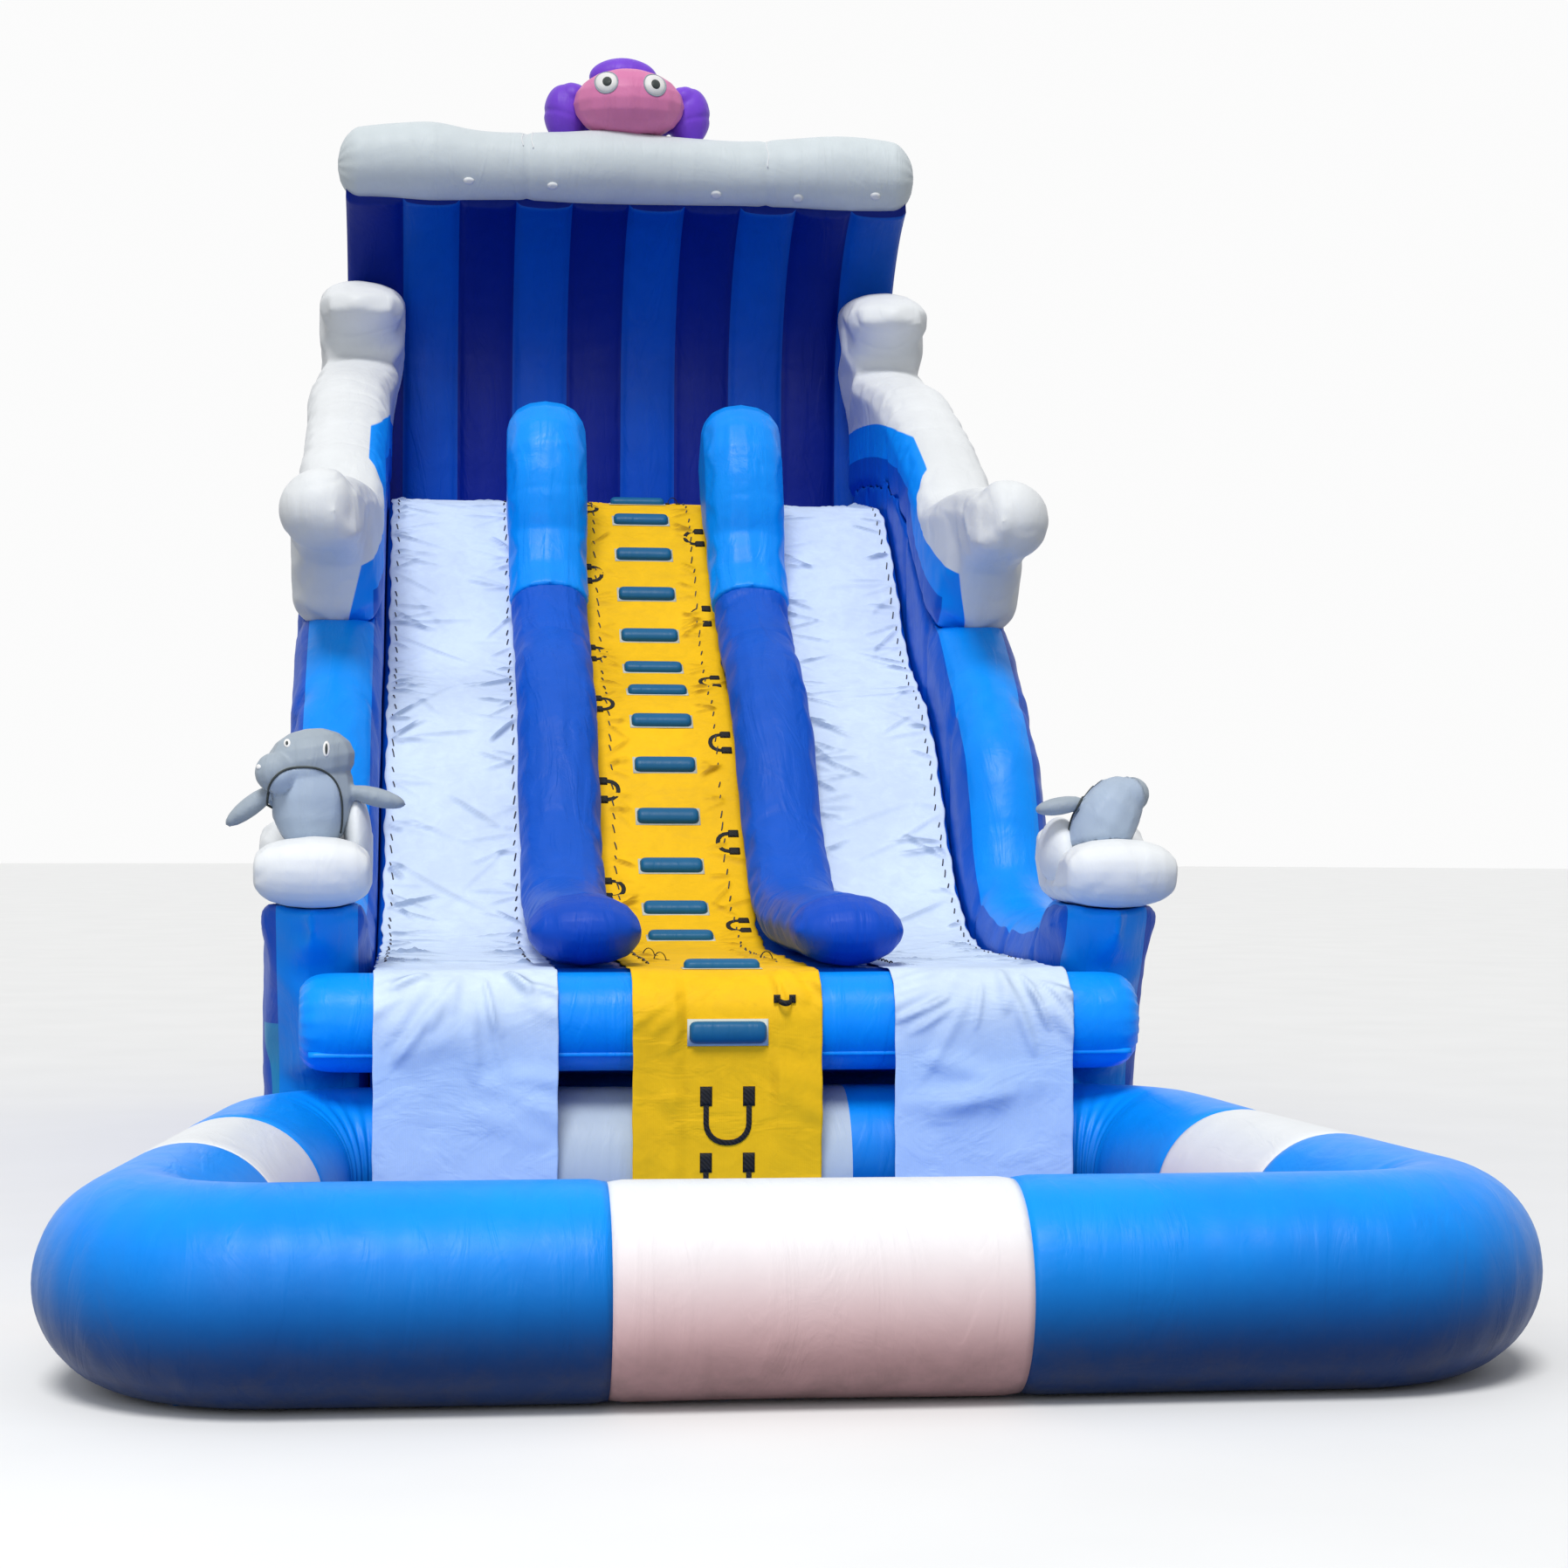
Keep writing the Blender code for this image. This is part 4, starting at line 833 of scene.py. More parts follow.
def ring_piece(name, node, line, material, seed):
    """A run of the pool's tube: closed ends, pinched seams, and creases on the inside of each bend."""
    pitch, around = 0.03, 72
    pinch, pinch_width, crease_depth, tuck_depth = 0.010, 0.035, 0.012, 0.005
    crease_pitch, tuck_pitch, sharp_bend = 0.135, 0.11, 1.2
    places, along, at = resample(line, pitch)
    angle = circle(around)
    side = np.stack([along[:, 1], -along[:, 0]], axis=1)
    bend = np.zeros(len(places))
    before, after = (np.pad(part, ((0, 0), (0, 1))) for part in (along[:-2], along[2:]))
    bend[1:-1] = np.cross(before, after)[:, 2] / (2 * pitch)
    rng = np.random.RandomState(seed)
    radius = np.full((len(places), around), TUBE_RADIUS - 0.004)
    # ends drawn in at the seam
    radius -= (pinch * ridge(at, pinch_width) + pinch * ridge(at[-1] - at, pinch_width))[:, None]
    # inner side of the bend: short creases across the tube
    turned = np.cos(angle)[None, :] * np.sign(bend)[:, None]
    sharpness = np.clip(np.abs(bend)[:, None] / sharp_bend, 0, 1)
    phase = np.cumsum(rng.uniform(0.5, 1.5, len(at))) * pitch
    ripple = np.sin(TURN * phase / crease_pitch)[:, None] * (0.7 + 0.3 * np.cos(3 * angle + at[:, None] * 3))
    radius += np.clip(-turned - 0.05, 0, 1) * sharpness * (ripple * crease_depth - crease_depth)
    # the outside of the bend shows fine tucks too
    tucks = np.sin(TURN * phase / tuck_pitch)[:, None]
    radius += np.clip(turned - 0.35, 0, 1) * sharpness * tucks * tuck_depth
    rows = np.empty((len(places), around, 3))
    rows[:, :, :2] = places[:, None, :] + side[:, None, :] * (radius * np.cos(angle))[:, :, None]
    rows[:, :, 2] = TUBE_RADIUS + radius * np.sin(angle)
    rows[:, :, 2] += lumps(rows, 0.006, 0.9, seed) * np.sin(angle)[None, :]
    # weight flattens the underside
    rows[:, :, 2] = np.maximum(rows[:, :, 2], 0.0) + np.where(rows[:, :, 2] < 0.02, 0.001, 0)
    obj = grid(name, rows, material)
    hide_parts(node)
    return obj


def make_pool_floor():
    inset = FLOOR_TOP / math.tan(math.pi / 12) + 0.003
    low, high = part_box("pool_floor")
    columns = len(np.arange(low.x, high.x + FLOOR_PITCH, FLOOR_PITCH))
    ys = np.arange(low.y, high.y + FLOOR_PITCH, FLOOR_PITCH)
    front, rear = (width / 2 - TUBE_RADIUS - inset for width in POOL_WIDTHS)
    half = front + (rear - front) * (ys - ys[0]) / (ys[-1] - ys[0])
    X = np.linspace(-1, 1, columns)[None, :] * half[:, None]
    corner = np.clip(np.abs(np.linspace(-1, 1, len(ys)))[:, None] * 9 - 8, 0, 1)
    X = X * (1 - 0.05 * corner)
    Y = np.repeat(ys[:, None], columns, axis=1)
    flat = np.stack([X, Y, np.zeros(X.shape)], axis=-1)
    width, length = 5.2, 3.9
    lines = long_creases(np.random.RandomState(5), width, 0, length, 60, 0.010)
    Z = 0.010 + lumps(flat, 0.004, 0.5, 3) + creases(X + width / 2, Y - ys[0], lines)
    Z = np.clip(Z, 0.003, FLOOR_TOP)
    top, bottom = (np.stack([X, Y, height], axis=-1) for height in (Z, np.full(X.shape, FLOOR_BOTTOM)))
    floor = grid("pool_floor_sheet", np.concatenate([top, bottom[:, ::-1]], axis=1), M["pool_floor"])
    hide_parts("pool_floor")


def make_pool():
    def between(a, b, shares):
        return [a + (b - a) * s for s in shares]

    front_right, rear_right, rear_left, front_left = pool_loop()
    white = between(front_left[-1], front_right[0], FRONT_PANEL)
    right = between(front_right[-1], rear_right[0], SIDE_PANEL)
    left = between(front_left[0], rear_left[-1], SIDE_PANEL)
    ring_piece("pool_front_panel", "pool_front_white", white, M["pool_white"], 2)
    ring_piece("pool_right_bend", "pool_corner_right", [white[1], *front_right, right[0]], M["pool"], 3)
    ring_piece("pool_right_panel", "pool_side_white_right", right, M["pool_white"], 4)
    ring_piece("pool_left_panel", "pool_side_white_left", left[::-1], M["pool_white"], 5)
    ring_piece("pool_left_bend", "pool_corner_left", [left[0], *front_left, white[0]], M["pool"], 6)
    back = [right[1], *rear_right, *rear_left, left[1]]
    rear = ring_piece("pool_rear_run", "pool_rear_tube", back, M["pool"], 7)
    # the rear white panel takes the painted-shade white
    rear.data.materials.append(M["rear_white_shaded"])
    for x in REAR_PANEL:
        split_at(rear, (x, 0, 0), (1, 0, 0))
    paint(rear, lambda c: (c[:, 0] > REAR_PANEL[0]) & (c[:, 0] < REAR_PANEL[1]))
    make_pool_floor()


# Landing roll and body


def make_roll():
    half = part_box("landing_roll")[1].x
    xs = np.linspace(-half, half, 160)
    angle = circle(56)
    end = np.minimum(xs + half, half - xs)
    drawn_in, pleats, pleat_depth = 0.34, 17, 0.010
    radius = (ROLL_RADIUS - 0.006) * (1 - drawn_in * np.exp(-(end / 0.045)))
    pucker = np.sin(angle * pleats)[None, :] * pleat_depth * np.exp(-end / 0.07)[:, None]
    rows = lengthwise(xs, LIP_Y + ROLL_RADIUS, ROLL_HEIGHT, radius[:, None] + pucker, angle)
    rows[:, :, 1:] += lumps(rows, 0.002, 0.5, 8)[:, :, None]
    obj = grid("landing_roll_skin", rows, M["bright"])
    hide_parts("landing_roll")
    # welded lip along the lower front
    radius, angle = ROLL_RADIUS - 0.004, 0.62
    line = [(x, LIP_Y + ROLL_RADIUS - radius * math.cos(angle), ROLL_HEIGHT - radius * math.sin(angle))
            for x in np.linspace(-half + 0.05, half - 0.05, 120)]
    ribbon("landing_roll_welt", line, (0, -0.35, -0.93), M["bright"])


def base_shape(co, no):
    """Grooves across the landing and the slope, where the inner tie sheets are sewn."""
    pitch, width = 0.55, 0.05
    return np.clip(no[:, 2], 0, 1) * (-0.020 * ridge((((co[:, 1] - LIP_Y) / pitch) % 1 - 0.5) * pitch, width))


def wall_shape(sign):
    def shape(co, no):
        outside = np.clip(no[:, 0] * sign, 0, 1)
        inside = np.clip(-no[:, 0] * sign, 0, 1)
        near = np.abs(((co[:, 1] - WALL_PANEL_START) / WALL_PANEL_PITCH + 0.5) % 1 - 0.5) * WALL_PANEL_PITCH
        outer_seam, inner_seam, tuck, tuck_pitch = 0.034, 0.020, 0.008, 0.17
        quilt = -outer_seam * ridge(near, 0.07) * outside
        quilt += -inner_seam * ridge(near, 0.05) * inside
        tucks = tuck * np.sin(TURN * co[:, 2] / tuck_pitch) * ridge(near, 0.10) * outside
        calm = 1 - 0.75 * inside
        broad = calm * lumps(co, 0.008, 0.55, 11)
        fine = calm * lumps(co, 0.004, 0.16, 12, (1, 1, 2.2))
        return quilt + tucks + broad + fine - 0.004
    return shape


def make_body():
    puffed("slide_base", 0.05, 3, M["deep"], base_shape, "base_skin")
    for side, sign in SIDES:
        wall = puffed(f"side_wall_{side}", 0.036, 5, [M["bright"], M["deep"], M["outer"], M["turquoise"]],
                      wall_shape(sign), f"wall_{side}_skin")
        inner, outer = WALL_CENTRE - INNER_STRIPE, WALL_CENTRE + OUTER_STRIPE
        for x in (inner, outer):
            split_at(wall, (sign * x, 0, 0), (1, 0, 0))
        if sign < 0:
            split_at(wall, (0, 0, PATCH_TOP), (0, 0, 1))
            split_at(wall, (0, LIP_Y + PATCH_LENGTH, 0), (0, 1, 0))
        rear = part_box(f"side_wall_{side}")[1].y - WALL_BACK

        def choose(c):
            x, y, z = c[:, 0] * sign, c[:, 1], c[:, 2]
            ids = np.where(x < inner, 1, np.where((x > outer) | ((y > rear) & (x > WALL_CENTRE)), 2, 0))
            return np.where((ids == 2) & (z < PATCH_TOP) & (y < LIP_Y + PATCH_LENGTH) & (sign < 0), 3, ids)

        paint(wall, choose)


def foam_shape(seed, amount=1.0):
    def shape(co, no):
        folds = np.abs(lumps(co, 1, 0.24, seed + 1, (1, 1.4, 0.9)))
        return amount * (lumps(co, 0.012, 0.55, seed) - 0.006 * np.clip(0.22 - folds, 0, 1) * 4 - 0.003)
    return shape


def make_foam():
    for side, sign in SIDES:
        knob = ((sign * 2.185, 0.99, 4.21), (0.58, 0.60, 0.54), (0, 0, 0))
        foam = puffed(f"wave_foam_{side}", 0.022, 12, M["wave"], foam_shape(21 + sign),
                      f"foam_{side}_skin", [knob])
        # the front end is drawn in on the lane's side, and the horn leans in over the wall
        co = coords(foam.data)
        x = co[:, 0] * sign
        inner = np.clip((FOAM_CENTRE - x) / 0.28, 0, 1)
        front = 1 - eased(co[:, 1], 1.15, 2.1)
        horn = eased(co[:, 1], 4.3, 4.9) * eased(co[:, 2], 5.3, 5.95)
        co[:, 0] = sign * (x + 0.105 * front * inner - horn * (0.035 + 0.065 * inner))
        set_coords(foam.data, co)
        puffed(f"foam_cap_{side}", 0.014, 8, M["foam"], foam_shape(31 + sign, 0.6))


def divider_shape(sign):
    def shape(co, no):
        tucks = 0
        for place, depth in DIVIDER_TUCKS:
            slant = place + 0.10 * (co[:, 0] - sign * DIVIDER_CENTRE) * sign
            tucks = tucks - depth * ridge(co[:, 1] - slant, 0.035) * (0.4 + lumps(co, 0.6, 0.3, 41))
        return tucks + lumps(co, 0.010, 0.35, 43) + lumps(co, 0.004, 0.12, 44, (2.0, 0.6, 0.6)) - 0.003
    return shape


def foot_shape(co, no):
    """Lumps, and a gathered seam near the foot's rear end."""
    seam_y, middle_z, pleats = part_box("divider_foot_left")[1].y, 1.66, 30
    around = np.arctan2(co[:, 2] - middle_z, np.abs(co[:, 0]) - DIVIDER_CENTRE)
    return (lumps(co, 0.010, 0.2, 61) - 0.004
            - 0.014 * ridge(co[:, 1] - seam_y + 0.06, 0.04) * (0.5 + 0.5 * np.sin(pleats * around)))


def make_dividers():
    for side, sign in SIDES:
        puffed(f"divider_{side}", 0.020, 5, M["divider"], divider_shape(sign))
        puffed(f"divider_head_{side}", 0.020, 6, M["bright"], foam_shape(51 + sign, 0.5))
        puffed(f"divider_foot_{side}", 0.016, 5, M["foot"], foot_shape)


# Covers


def drape_folds(rng, width, top, count, depth):
    """Folds of a hanging end, fanning out from a place on the bend, with a few broad ones across them."""
    lines, lowest = [], -0.3
    focus = rng.uniform(0.42, 0.66) * width
    for _ in range(count):
        lean = rng.uniform(-1.25, 1.25)
        start = top + rng.uniform(-0.10, 0.16)
        reach = rng.uniform(0.22, 0.62)
        u = focus + 0.30 * width * math.sin(lean) + rng.uniform(-0.05, 0.05)
        lines.append((u, start, u + reach * math.sin(lean), max(lowest, start - reach * math.cos(lean)),
                      depth * rng.uniform(0.35, 1.0), rng.uniform(0.016, 0.046)))
    for _ in range(5):
        u, start = rng.uniform(0.1, 0.9) * width, top - rng.uniform(0.35, 0.75)
        lines.append((u - 0.22, start, u + 0.22, start + rng.uniform(-0.25, 0.25),
                      depth * 0.6, rng.uniform(0.05, 0.09)))
    return lines


def cover(name, node, centre, width, material, seed, hidden, flat_strip=None, edge_height=0.016,
          drape_depth=0.024, folds=15):
    """A laid sheet with laced edges: puckers along both edges, long pulls and a hanging end with folds.

    hidden is how much of the width is tucked away on the left and on the right. flat_strip is half the
    width of a calm strip along the middle.
    """
    pitch, columns, thickness, deepest = 0.016, 77, 0.003, 0.055
    places, along, at = resample(cover_path(), pitch)
    U, V = np.meshgrid(np.linspace(0, width, columns), at)
    flat = np.stack([U, V, np.zeros(U.shape)], axis=-1)
    up = np.stack([-along[:, 1], along[:, 0]], axis=1)
    hang = ROLL_HEIGHT - DRAPE_BOTTOM

    def off_strip(fade):
        return np.clip((np.abs(U - width / 2) - flat_strip) / fade, 0, 1) if flat_strip else 1

    # the laid part
    rng = np.random.RandomState(seed)
    seen, laid_from = width - hidden[0] - hidden[1], hang + 0.75
    lines = edge_creases(rng, seen, laid_from, at[-1], edge_height)
    lines += long_creases(rng, seen, laid_from, at[-1], 30, 0.014)
    lines = [(a + hidden[0], b, c + hidden[0], d, h, w) for a, b, c, d, h, w in lines]
    height = creases(U, V, lines) * off_strip(0.05)
    sharp = creases(U, V, [(*line[:5], line[5] * 0.75) for line in lines]) * off_strip(0.05)
    height += 0.0042 + lumps(flat, 0.0030, 0.30, seed + 1) + lumps(flat, 0.0012, 0.09, seed + 2)
    # the hanging end
    over = np.clip((hang + 0.62 - V) / 0.30, 0, 1)
    lines = drape_folds(np.random.RandomState(seed + 9), width, hang + 0.20, folds, drape_depth)
    drape = creases(U, V, lines) + 0.010
    drape += lumps(flat, 0.010, 0.42, seed + 4) + lumps(flat, 0.003, 0.12, seed + 5)
    drape *= np.clip(V / 0.9 + 0.55, 0, 1) * off_strip(0.06)
    height = height * (1 - over) + over * (np.clip(drape, 0, deepest) + 0.001)
    # wavy edges
    edge = np.minimum(U, width - U)
    wave = (0.006 * np.sin(V * 13 + seed) + 0.004 * np.sin(V * 31 + 2 * seed)) * (1 - 0.75 * over)
    side = np.where(U < width / 2, 1, -1)
    x = centre - width / 2 + U + side * (wave * np.exp(-(edge / 0.05)) + 0.004 * np.exp(-(edge / 0.02)))

    def layer(thick):
        rise = LIFT + thick + height
        return np.stack([x, *(places[:, k, None] + up[:, k, None] * rise for k in (0, 1))], axis=-1)

    obj = grid(name, np.concatenate([layer(thickness), layer(0.0)[:, ::-1]], axis=1), material)
    # painted shade: where a fold is steep, and along the crease lines, the sheet is darkened through the
    # fold_shade attribute
    steep = np.hypot(*np.gradient(height, pitch)) * 1.8
    fold_shade = np.clip(0.40 * steep * (1 - over) + sharp * (1 - over) * 30 + over * steep * 0.45, 0, 1)
    fold_shade = np.concatenate([fold_shade, fold_shade[:, ::-1]], axis=1).ravel()
    drawn = obj.data.attributes.new("fold_shade", "FLOAT", "POINT")
    drawn.data.foreach_set("value", fold_shade.astype(np.float32))
    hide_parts(node)
    return obj, places, up, at


def lacing(name, centre, width, hidden, places, up, at, seed):
    """Stitches of lacing cord along both seen edges of a cover."""
    steps, sides, radius, rise, slant = 4, 6, 0.0045, 0.010, 0.012
    start, margin = 2.1, 0.15
    rng = np.random.RandomState(seed)
    points, faces = [], []
    for side in (-1, 1):
        v = start
        while v < at[-1] - margin:
            length = rng.uniform(0.04, 0.075)
            x = centre + side * (width / 2 - hidden[side > 0] - rng.uniform(0.020, 0.034))
            line = []
            for k in range(steps + 1):
                p, n = (np.array([np.interp(v + length * k / steps, at, values[:, i]) for i in (0, 1)])
                        for values in (places, up))
                p = p + n * (rise + rise * math.sin(math.pi * k / steps))
                line.append((x + side * slant * (k / steps), p[0], p[1]))
            direction = unit(np.gradient(np.array(line), axis=0))
            across = unit(np.cross(direction, (1, 0, 0)))
            other = np.cross(direction, across)
            first = len(points)
            turns = [TURN * q / sides for q in range(sides)]
            points += [p + radius * (math.cos(w) * a + math.sin(w) * b)
                       for p, a, b in zip(np.array(line), across, other) for w in turns]
            for r, q in product(range(steps), range(sides)):
                here, beside = first + r * sides + q, first + r * sides + (q + 1) % sides
                faces.append((here, beside, beside + sides, here + sides))
            faces.append(tuple(first + q for q in range(sides)))
            faces.append(tuple(first + steps * sides + q for q in reversed(range(sides))))
            v += rng.uniform(0.10, 0.16)
    return mesh_object(name, points, faces, M["lace"])


def make_covers():
    ladder = {"flat_strip": 0.21, "edge_height": 0.012, "drape_depth": 0.018, "folds": 13}
    for name, node, centre, width, material, seed, lace_seed, hidden, looks in (
        ("lane_left", "lane_cover_left", -LANE_CENTRE, LANE_WIDTH, M["lane"], 5, 5, (0.03, 0.10), {}),
        ("lane_right", "lane_cover_right", LANE_CENTRE, LANE_WIDTH, M["lane"], 9, 9, (0.10, 0.03), {}),
        ("ladder", "ladder_cover", 0, LADDER_WIDTH, M["ladder"], 15, 17, (0.12, 0.12), ladder),
    ):
        obj, places, up, at = cover(f"{name}_sheet", node, centre, width, material, seed, hidden, **looks)
        lace = lacing(f"{name}_lacing", centre, width, hidden, places, up, at, lace_seed)


# Rungs and webbing


def make_rungs():
    drawn_in, squareness, flange, flange_height = 0.42, 0.75, 0.022, 0.004
    for i in range(RUNGS):
        node = f"rung_{i + 1:02d}"
        co = np.unique(np.round(coords(frame["nodes"][node].data), 5), axis=0)
        flat = co[np.abs(co[:, 0]) < 0.19][:, 1:]
        # the flat back is the longest straight run in the side view
        longest = 0
        for a, b in product(flat, flat):
            d = np.linalg.norm(b - a)
            if d > longest and b[1] + b[0] > a[1] + a[0]:
                longest, ends = d, (a, b)
        a, b = ends
        along = (b - a) / longest
        up = np.array([-along[1], along[0]])
        middle = (a + b) / 2
        rows = []
        for x in np.linspace(-1, 1, 41):
            shrink = 1 - drawn_in * math.exp(-(1 - abs(x)) / 0.05)
            ring = []
            for t in np.linspace(0, math.pi, 25):
                w = -math.cos(t) * RUNG_WIDTH / 2 * shrink
                h = (abs(math.sin(t)) ** squareness) * RUNG_HEIGHT * shrink * 0.96
                ring.append((x * RUNG_LENGTH / 2 * 0.985, *(middle + along * w + up * (h + flange_height))))
            rows.append(ring)
        obj = grid(f"{node}_pad", rows, M["rung"])
        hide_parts(node)
        # sewn flange that shows as a pale rim
        section = ((-0.5, 0.0), (-0.5, flange_height), (0.5, flange_height), (0.5, 0.0))
        rim = [[(x * (RUNG_LENGTH / 2 + 0.008), *(middle + along * (w * (RUNG_WIDTH + flange)) + up * h))
                for w, h in section] for x in np.linspace(-1, 1, 31)]
        grid(f"{node}_flange", rim, M["piping"])


def strap_skin(node):
    """A finer webbing skin over a loop's solid."""
    mesh = frame["nodes"][node].data.copy()
    obj = dressed(f"{node}_webbing", mesh, M["black"])
    with editing(mesh) as work:
        bmesh.ops.remove_doubles(work, verts=work.verts, dist=1e-5)
        bmesh.ops.dissolve_limit(work, angle_limit=0.02, verts=work.verts, edges=work.edges)
        edges = [e for e in work.edges if e.calc_face_angle(0) > 0.9]
        bmesh.ops.bevel(work, geom=edges, offset=0.0012, segments=2, affect="EDGES", profile=0.5)
    mesh.shade_smooth()
    mesh.set_sharp_from_angle(angle=math.radians(60))
    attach(obj, node)
    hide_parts(node)


def anchor_patch(name, centre, u, v, n, w, h, rise, sunk):
    """A sewn-on webbing patch, w by h along u and v: a low pad that thins to its rim."""
    centre, u, v, n = (np.asarray(t, dtype=float) for t in (centre, u, v, n))
    rows = []
    for a in np.linspace(-1, 1, 14):
        over, under = [], []
        for b in np.linspace(-1, 1, 10):
            place = centre + u * a * w / 2 + v * b * h / 2
            edge = min(1 - abs(a), 1 - abs(b))
            over.append(place + n * (rise * (1 - math.exp(-edge / 0.12)) + 0.0004))
            under.append(place - n * sunk)
        rows.append(over + under[::-1])
    return grid(name, rows, M["black"])


def joint_of(node):
    return next(j for j in frame["joints"] if j["child"] == node)


def make_webbing():
    half_span, outwards = 0.075, 0.028
    for i in range(LOOPS):
        node = f"ladder_loop_{i + 1:02d}"
        strap_skin(node)
        joint = joint_of(node)
        axis, pos = unit(np.array(joint["axis"])), np.array(joint["pos_m"])
        across = np.array([1.0, 0, 0])
        up = np.cross(across, axis)
        if up[2] < 0:
            up = -up
        for k, s in enumerate((-1, 1)):
            centre = pos + axis * s * half_span + across * np.sign(pos[0]) * outwards
            anchor_patch(f"{node}_patch_{k + 1}", centre, across, axis, up, 0.070, 0.060, 0.014, 0.004)
    for i in range(HANDLES):
        node = f"u_handle_{i + 1}"
        strap_skin(node)
        pos = joint_of(node)["pos_m"]
        for k, s in enumerate((-1, 1)):
            centre = (s * 0.11, pos[1] + 0.004, pos[2] + 0.036)
            anchor_patch(f"{node}_patch_{k + 1}", centre, (1, 0, 0), (0, 0, 1), (0, -1, 0),
                         0.062, 0.100, 0.010, 0.002)


def make_tabs():
    for k, tab in enumerate(TABS):
        place, along, up = (np.array(t, dtype=float) for t in tab)
        across = np.cross(along, up)
        half, height, slant = 0.036, 0.052, 0.02
        line = [place + across * half * math.cos(a) + up * (0.004 + height * math.sin(a))
                + along * slant * math.sin(a) for a in np.linspace(0, math.pi, 19)]
        ribbon(f"sewn_tab_{k + 1}", line, along, M["black"])
        for i, side in enumerate((-1, 1)):
            anchor_patch(f"sewn_tab_{k + 1}_patch_{i + 1}", place + across * side * 0.040 + up * 0.003,
                         across, along, up, 0.034, 0.042, 0.010, 0.004)


# Back wall and crest


def make_back_wall():
    steps, roundness = 14, 0.8
    middle = LIP_Y + BACK_FACE + BACK_WALL_THICKNESS / 2
    across = CHANNELS * steps
    xs = np.linspace(-BACK_WALL_WIDTH / 2, BACK_WALL_WIDTH / 2, across + 1)
    u = (np.arange(across + 1) % steps) / steps
    bulge = np.sqrt(np.clip(1 - (2 * u - 1) ** 2, 0, 1)) ** roundness
    bulge[::steps] = 0
    depth = BACK_WALL_THICKNESS / 2 - CROWN + CROWN * bulge * 0.985
    # down the front of the section and back along its rear
    xs = np.concatenate([xs, xs[::-1]]) * 0.999
    ys = np.concatenate([-depth, depth[::-1]])
    stations = [(z, 0.0, 0.0) for z in np.linspace(0.02, CURL_START, 96)]
    for lean in np.linspace(0, CURL_ANGLE, 34)[1:]:
        stations.append((CURL_START + CURL_RADIUS * math.sin(lean), CURL_RADIUS * (1 - math.cos(lean)), lean))
    rows = np.array([[(x, middle - reach + y * math.cos(lean), z + y * math.sin(lean))
                      for x, y in zip(xs, ys)] for z, reach, lean in stations])
    count, around = rows.shape[:2]
    wave = lumps(rows, 0.006, 0.5, 71, (2.0, 1, 0.7)) + lumps(rows, 0.003, 0.22, 72, (1, 1, 3.0))
    inward = np.where(np.arange(around) <= across, 1, -1)
    rows[:, :, 1] += (wave + 0.006) * inward[None, :] * np.cos([s[2] for s in stations])[:, None]
    k = np.arange(around)
    cell = np.minimum(np.where(k <= across, k, 2 * across - k) // steps, CHANNELS - 1)
    obj = grid("back_wall_skin", rows, [M["navy"], M["stripe"]], np.tile(cell % 2, (count - 1, 1)))
    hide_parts("back_wall")


def make_crest():
    last, rounding, pleats, pleat_depth, tuck = len(CREST_LUMPS) - 1, 0.17, 15, 0.008, 0.014
    points = []
    for i, share in enumerate(CREST_LUMPS):
        end = -math.cos(math.pi * i / last) * 0.35 + (2 * i / last - 1) * 0.65
        height = BACK_WALL_HEIGHT + CREST_RADIUS * 0.25 + CREST_RADIUS * (share - 1) * 0.5
        points.append((end * (CREST_WIDTH / 2 + 0.03), height, share))
    xs, zs, shares = np.array([tuple(p) for p in smooth_points(points, 12)]).T
    angle = circle(64)
    end = np.minimum(xs - xs[0], xs[-1] - xs) + 0.001
    radius = CREST_RADIUS * shares * 0.985 * np.sin(np.clip(end / rounding, 0, 1) * math.pi / 2) ** 0.42
    for place in CREST_TUCKS:
        radius = radius - tuck * ridge(xs - place, 0.03)
    r = radius[:, None] + lumps(lengthwise(xs, 0, 0, 0.3, angle), 0.010, 0.35, 81) - 0.004
    r = r + (np.sin(angle * pleats) * pleat_depth)[None, :] * np.exp(-end / 0.09)[:, None]
    obj = grid("crest_skin", lengthwise(xs, CREST_Y, zs[:, None], r, angle), M["crest"])
    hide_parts("crest_roll")
    tree = skin_tree(obj)
    for k, place in enumerate(CREST_GATHERS):
        patch(f"crest_gather_{k + 1}", tree, place, (0.085, 0.050), 0.016, M["foam"], around=20)
    for k, (x, top, bottom) in enumerate(CREST_SEAMS):
        line = [facing(tree, (x, 7.3), x + 0.006 * math.sin(z * 40), z) for z in np.linspace(top, bottom, 14)]
        tube(f"crest_seam_{k + 1}", [p + n * 0.001 for p, n in line], 0.006, M["foam"])


# Figures


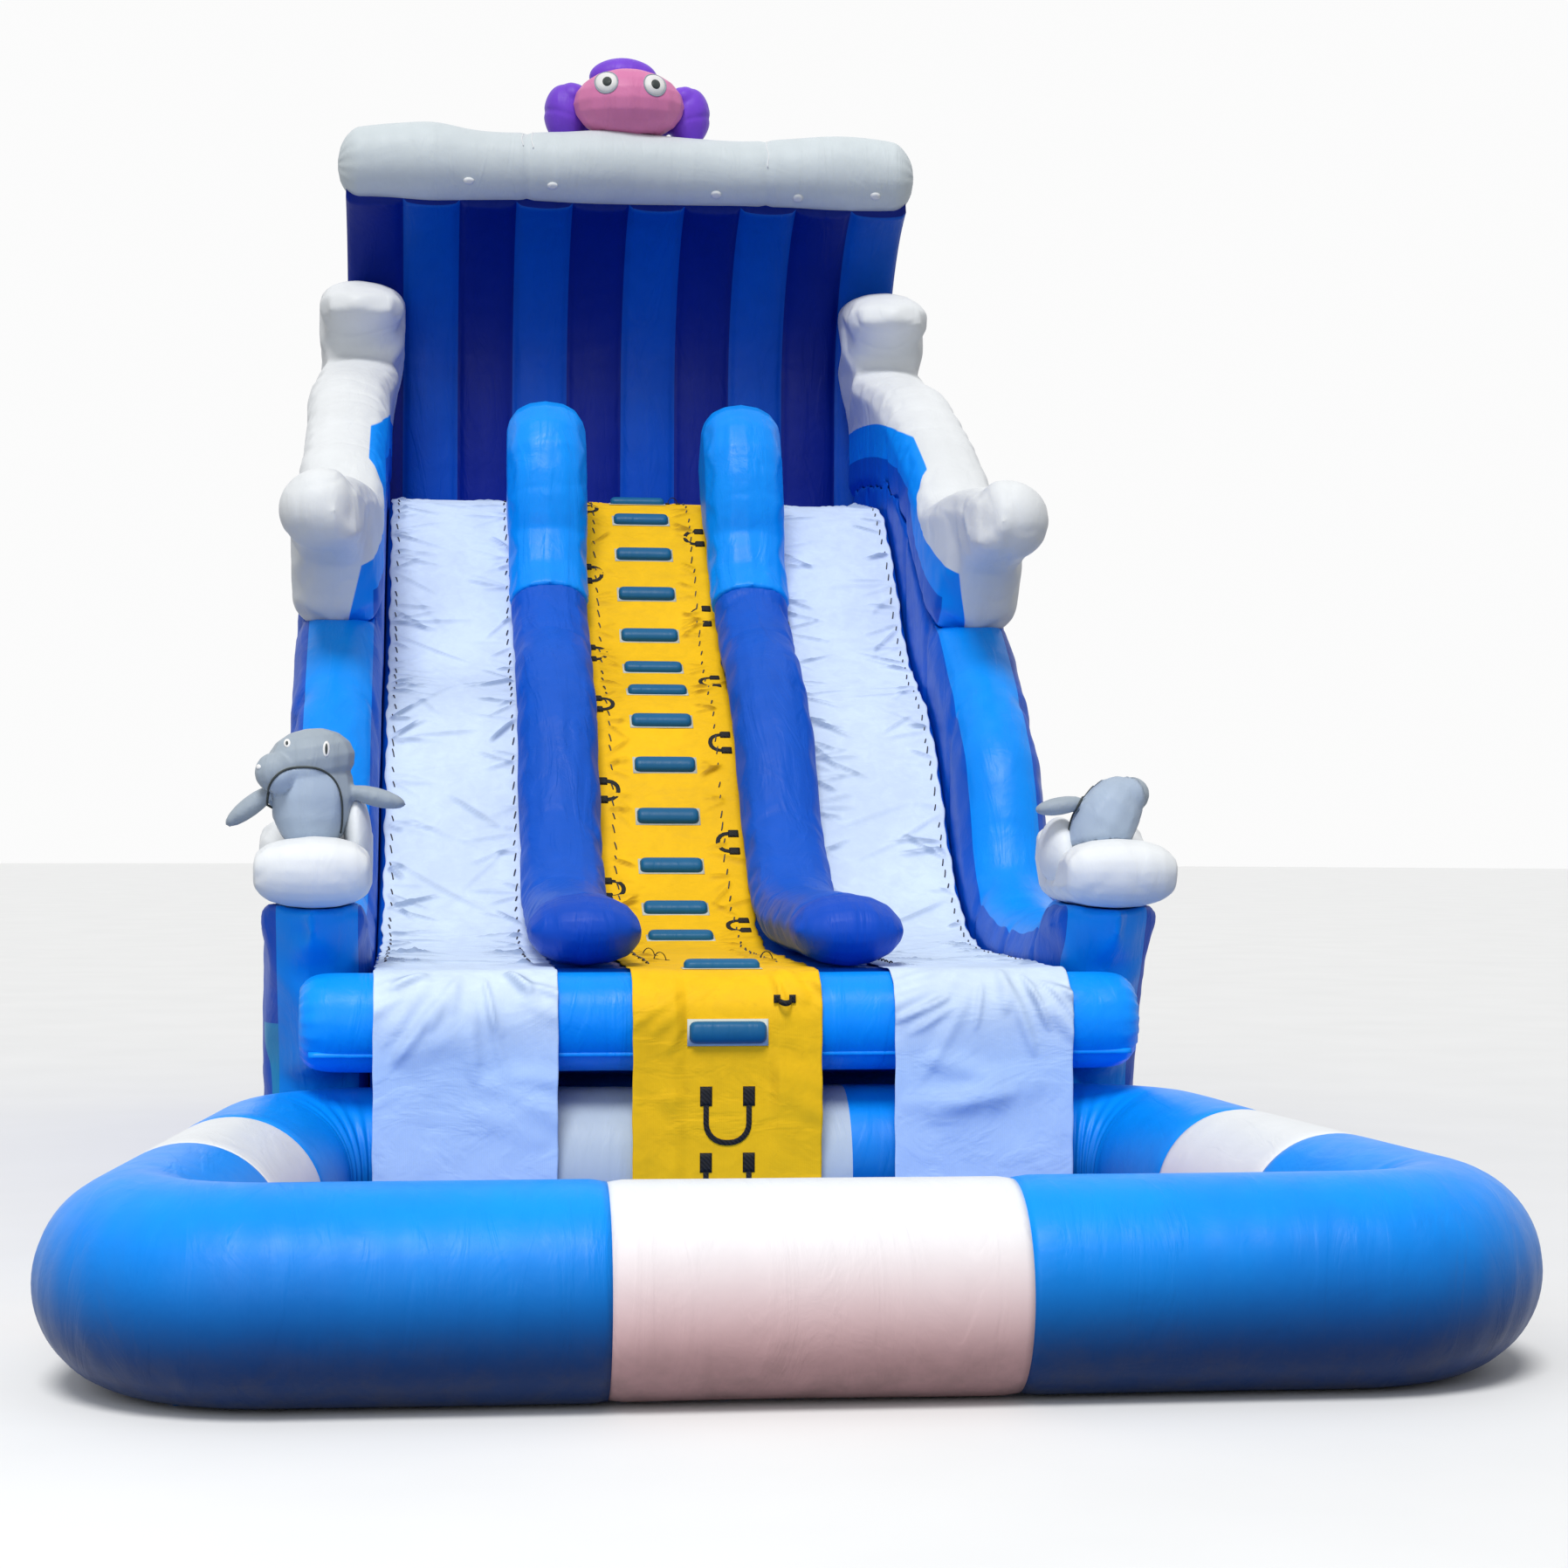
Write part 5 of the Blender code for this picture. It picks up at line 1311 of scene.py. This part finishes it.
def make_octopus():
    head = puffed("octopus_head", 0.012, 5, M["pink"], foam_shape(91, 0.30))
    lobes = [((s * 0.485, 5.27, 7.79), (0.33, 0.36, 0.47), (0, s * 0.12, 0)) for s in (-1, 1)]
    lobes += [((s * 0.44, 5.27, 7.92), (0.26, 0.32, 0.24), (0, s * 0.5, 0)) for s in (-1, 1)]
    lobes += [((-0.03, 5.27, 8.09), (0.54, 0.34, 0.30), (0, 0, 0)),
              ((0, 5.27, 7.80), (0.86, 0.28, 0.44), (0, 0, 0))]

    def arms_shape(co, no):
        turn = np.arctan2(co[:, 2] - 7.62, co[:, 0])
        tucks = ridge((turn / 0.52) % 1 - 0.5, 0.07) * np.clip(np.abs(co[:, 0]) / 0.45 - 0.4, 0, 1)
        return lumps(co, 0.014, 0.20, 93) - 0.008 * tucks

    arms = merged("octopus_arms_skin", lobes, 0.012, 3, M["purple"])
    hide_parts("octopus_arms")
    swell(arms, arms_shape)
    tree = skin_tree(head)
    for k, (x, z) in enumerate(((-0.190, 7.955), (0.185, 7.945))):
        eye = patch(f"octopus_eye_{k + 1}", tree, (x, z), (0.166, 0.186), 0.022, M["eye"], 10, 40)
        iris = (x + 0.004, z - 0.004)
        patch(f"octopus_iris_{k + 1}", skin_tree(eye), iris, (0.070, 0.082), 0.007, M["pupil"], around=28)
        rim_cord(f"octopus_eye_rim_{k + 1}", tree, (x, z), (0.174, 0.195), 0, 360, 49, 0.005, M["grey"])


def make_dolphin(side, seed, centre, size, rise, rim, wave, eyes=(), **shape):
    """A dolphin with its belly patch, a dark cord along part of that, any eyes, and the wave it sits in. On
    the left dolphin the cord is a painted shadow line under the head's overhang.

    rim is the cord's first and last angle and its number of points.
    """
    node = f"dolphin_{side}"
    tree = skin_tree(puffed(node, 0.010, 5, M["grey"], foam_shape(seed, 0.22)))
    patch(f"{node}_belly", tree, centre, size, rise, M["belly"], 14, 56, **shape)
    # a dark cord along part of the belly's edge; on the left dolphin it is a painted shadow line under the
    # head's overhang
    rim_cord(f"{node}_belly_rim", tree, centre, size, *rim, 0.0065, M["pupil"], **shape)
    for label, place, eye_size, pupil_size in eyes:
        eye = patch(f"{node}_{label}", tree, place, eye_size, 0.006, M["eye"])
        patch(f"{node}_{label}_pupil", skin_tree(eye), place, pupil_size, 0.004, M["pupil"], 4, 16)
    # painted highlight: a small white dot on the left dolphin's snout
    if eyes:
        patch(f"{node}_snout_highlight", tree, SNOUT_HIGHLIGHT, (0.026, 0.026), 0.004, M["eye"], 4, 16)
    merged(f"{node}_wave", [wave], 0.014, 2, M["foam"])


def make_dolphins():
    """The right one leans outwards and looks up, so only its pale underside and one flipper are seen."""
    make_dolphin("left", 96, (-2.165, 2.285), (0.39, 0.47), 0.020, (-25, 205, 60),
                 ((-1.895, -2.12, 2.19), (0.15, 0.46, 0.42), (0.15, -0.10, 0)), EYES, power=2.5)
    make_dolphin("right", 98, (2.116, 2.270), (0.345, 0.54), 0.018, (140, 232, 36),
                 ((1.875, -2.10, 2.10), (0.20, 0.46, 0.36), (0.15, 0.10, 0)), power=2.2, lean=0.54, aim=0.228)


def make_sleeve():
    puffed("inflation_sleeve", 0.009, 2, M["sleeve"],
           lambda co, no: lumps(co, 0.005, 0.09, 99, (1, 3, 1)), "sleeve_skin")
    low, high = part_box("inflation_sleeve")
    middle, radius, tie_y = (low + high) / 2, (high.x - low.x) / 2 + 0.003, low.y + 0.24
    ring = [(middle.x + radius * math.cos(a), tie_y + 0.006 * math.sin(2 * a),
             middle.z + radius * math.sin(a)) for a in np.linspace(0, TURN, 60)]
    tube("sleeve_tie", ring, 0.007, M["black"], sides=8)
    start, length = Vector((middle.x, tie_y, low.z - 0.004)), 0.20
    for k, lean in enumerate((-0.4, 0.3)):
        line = [start + Vector((lean * length * t, 0.03 * math.sin(3 * t), -length * t))
                for t in np.linspace(0, 1, 14)]
        tube(f"sleeve_tie_end_{k + 1}", line, 0.006, M["black"], sides=8)


make_camera()
make_stage()
make_pool()
make_roll()
make_body()
make_foam()
make_dividers()
make_covers()
make_rungs()
make_webbing()
make_tabs()
make_back_wall()
make_crest()
make_octopus()
make_dolphins()
make_sleeve()

bpy.context.scene.view_settings.view_transform = "Standard"
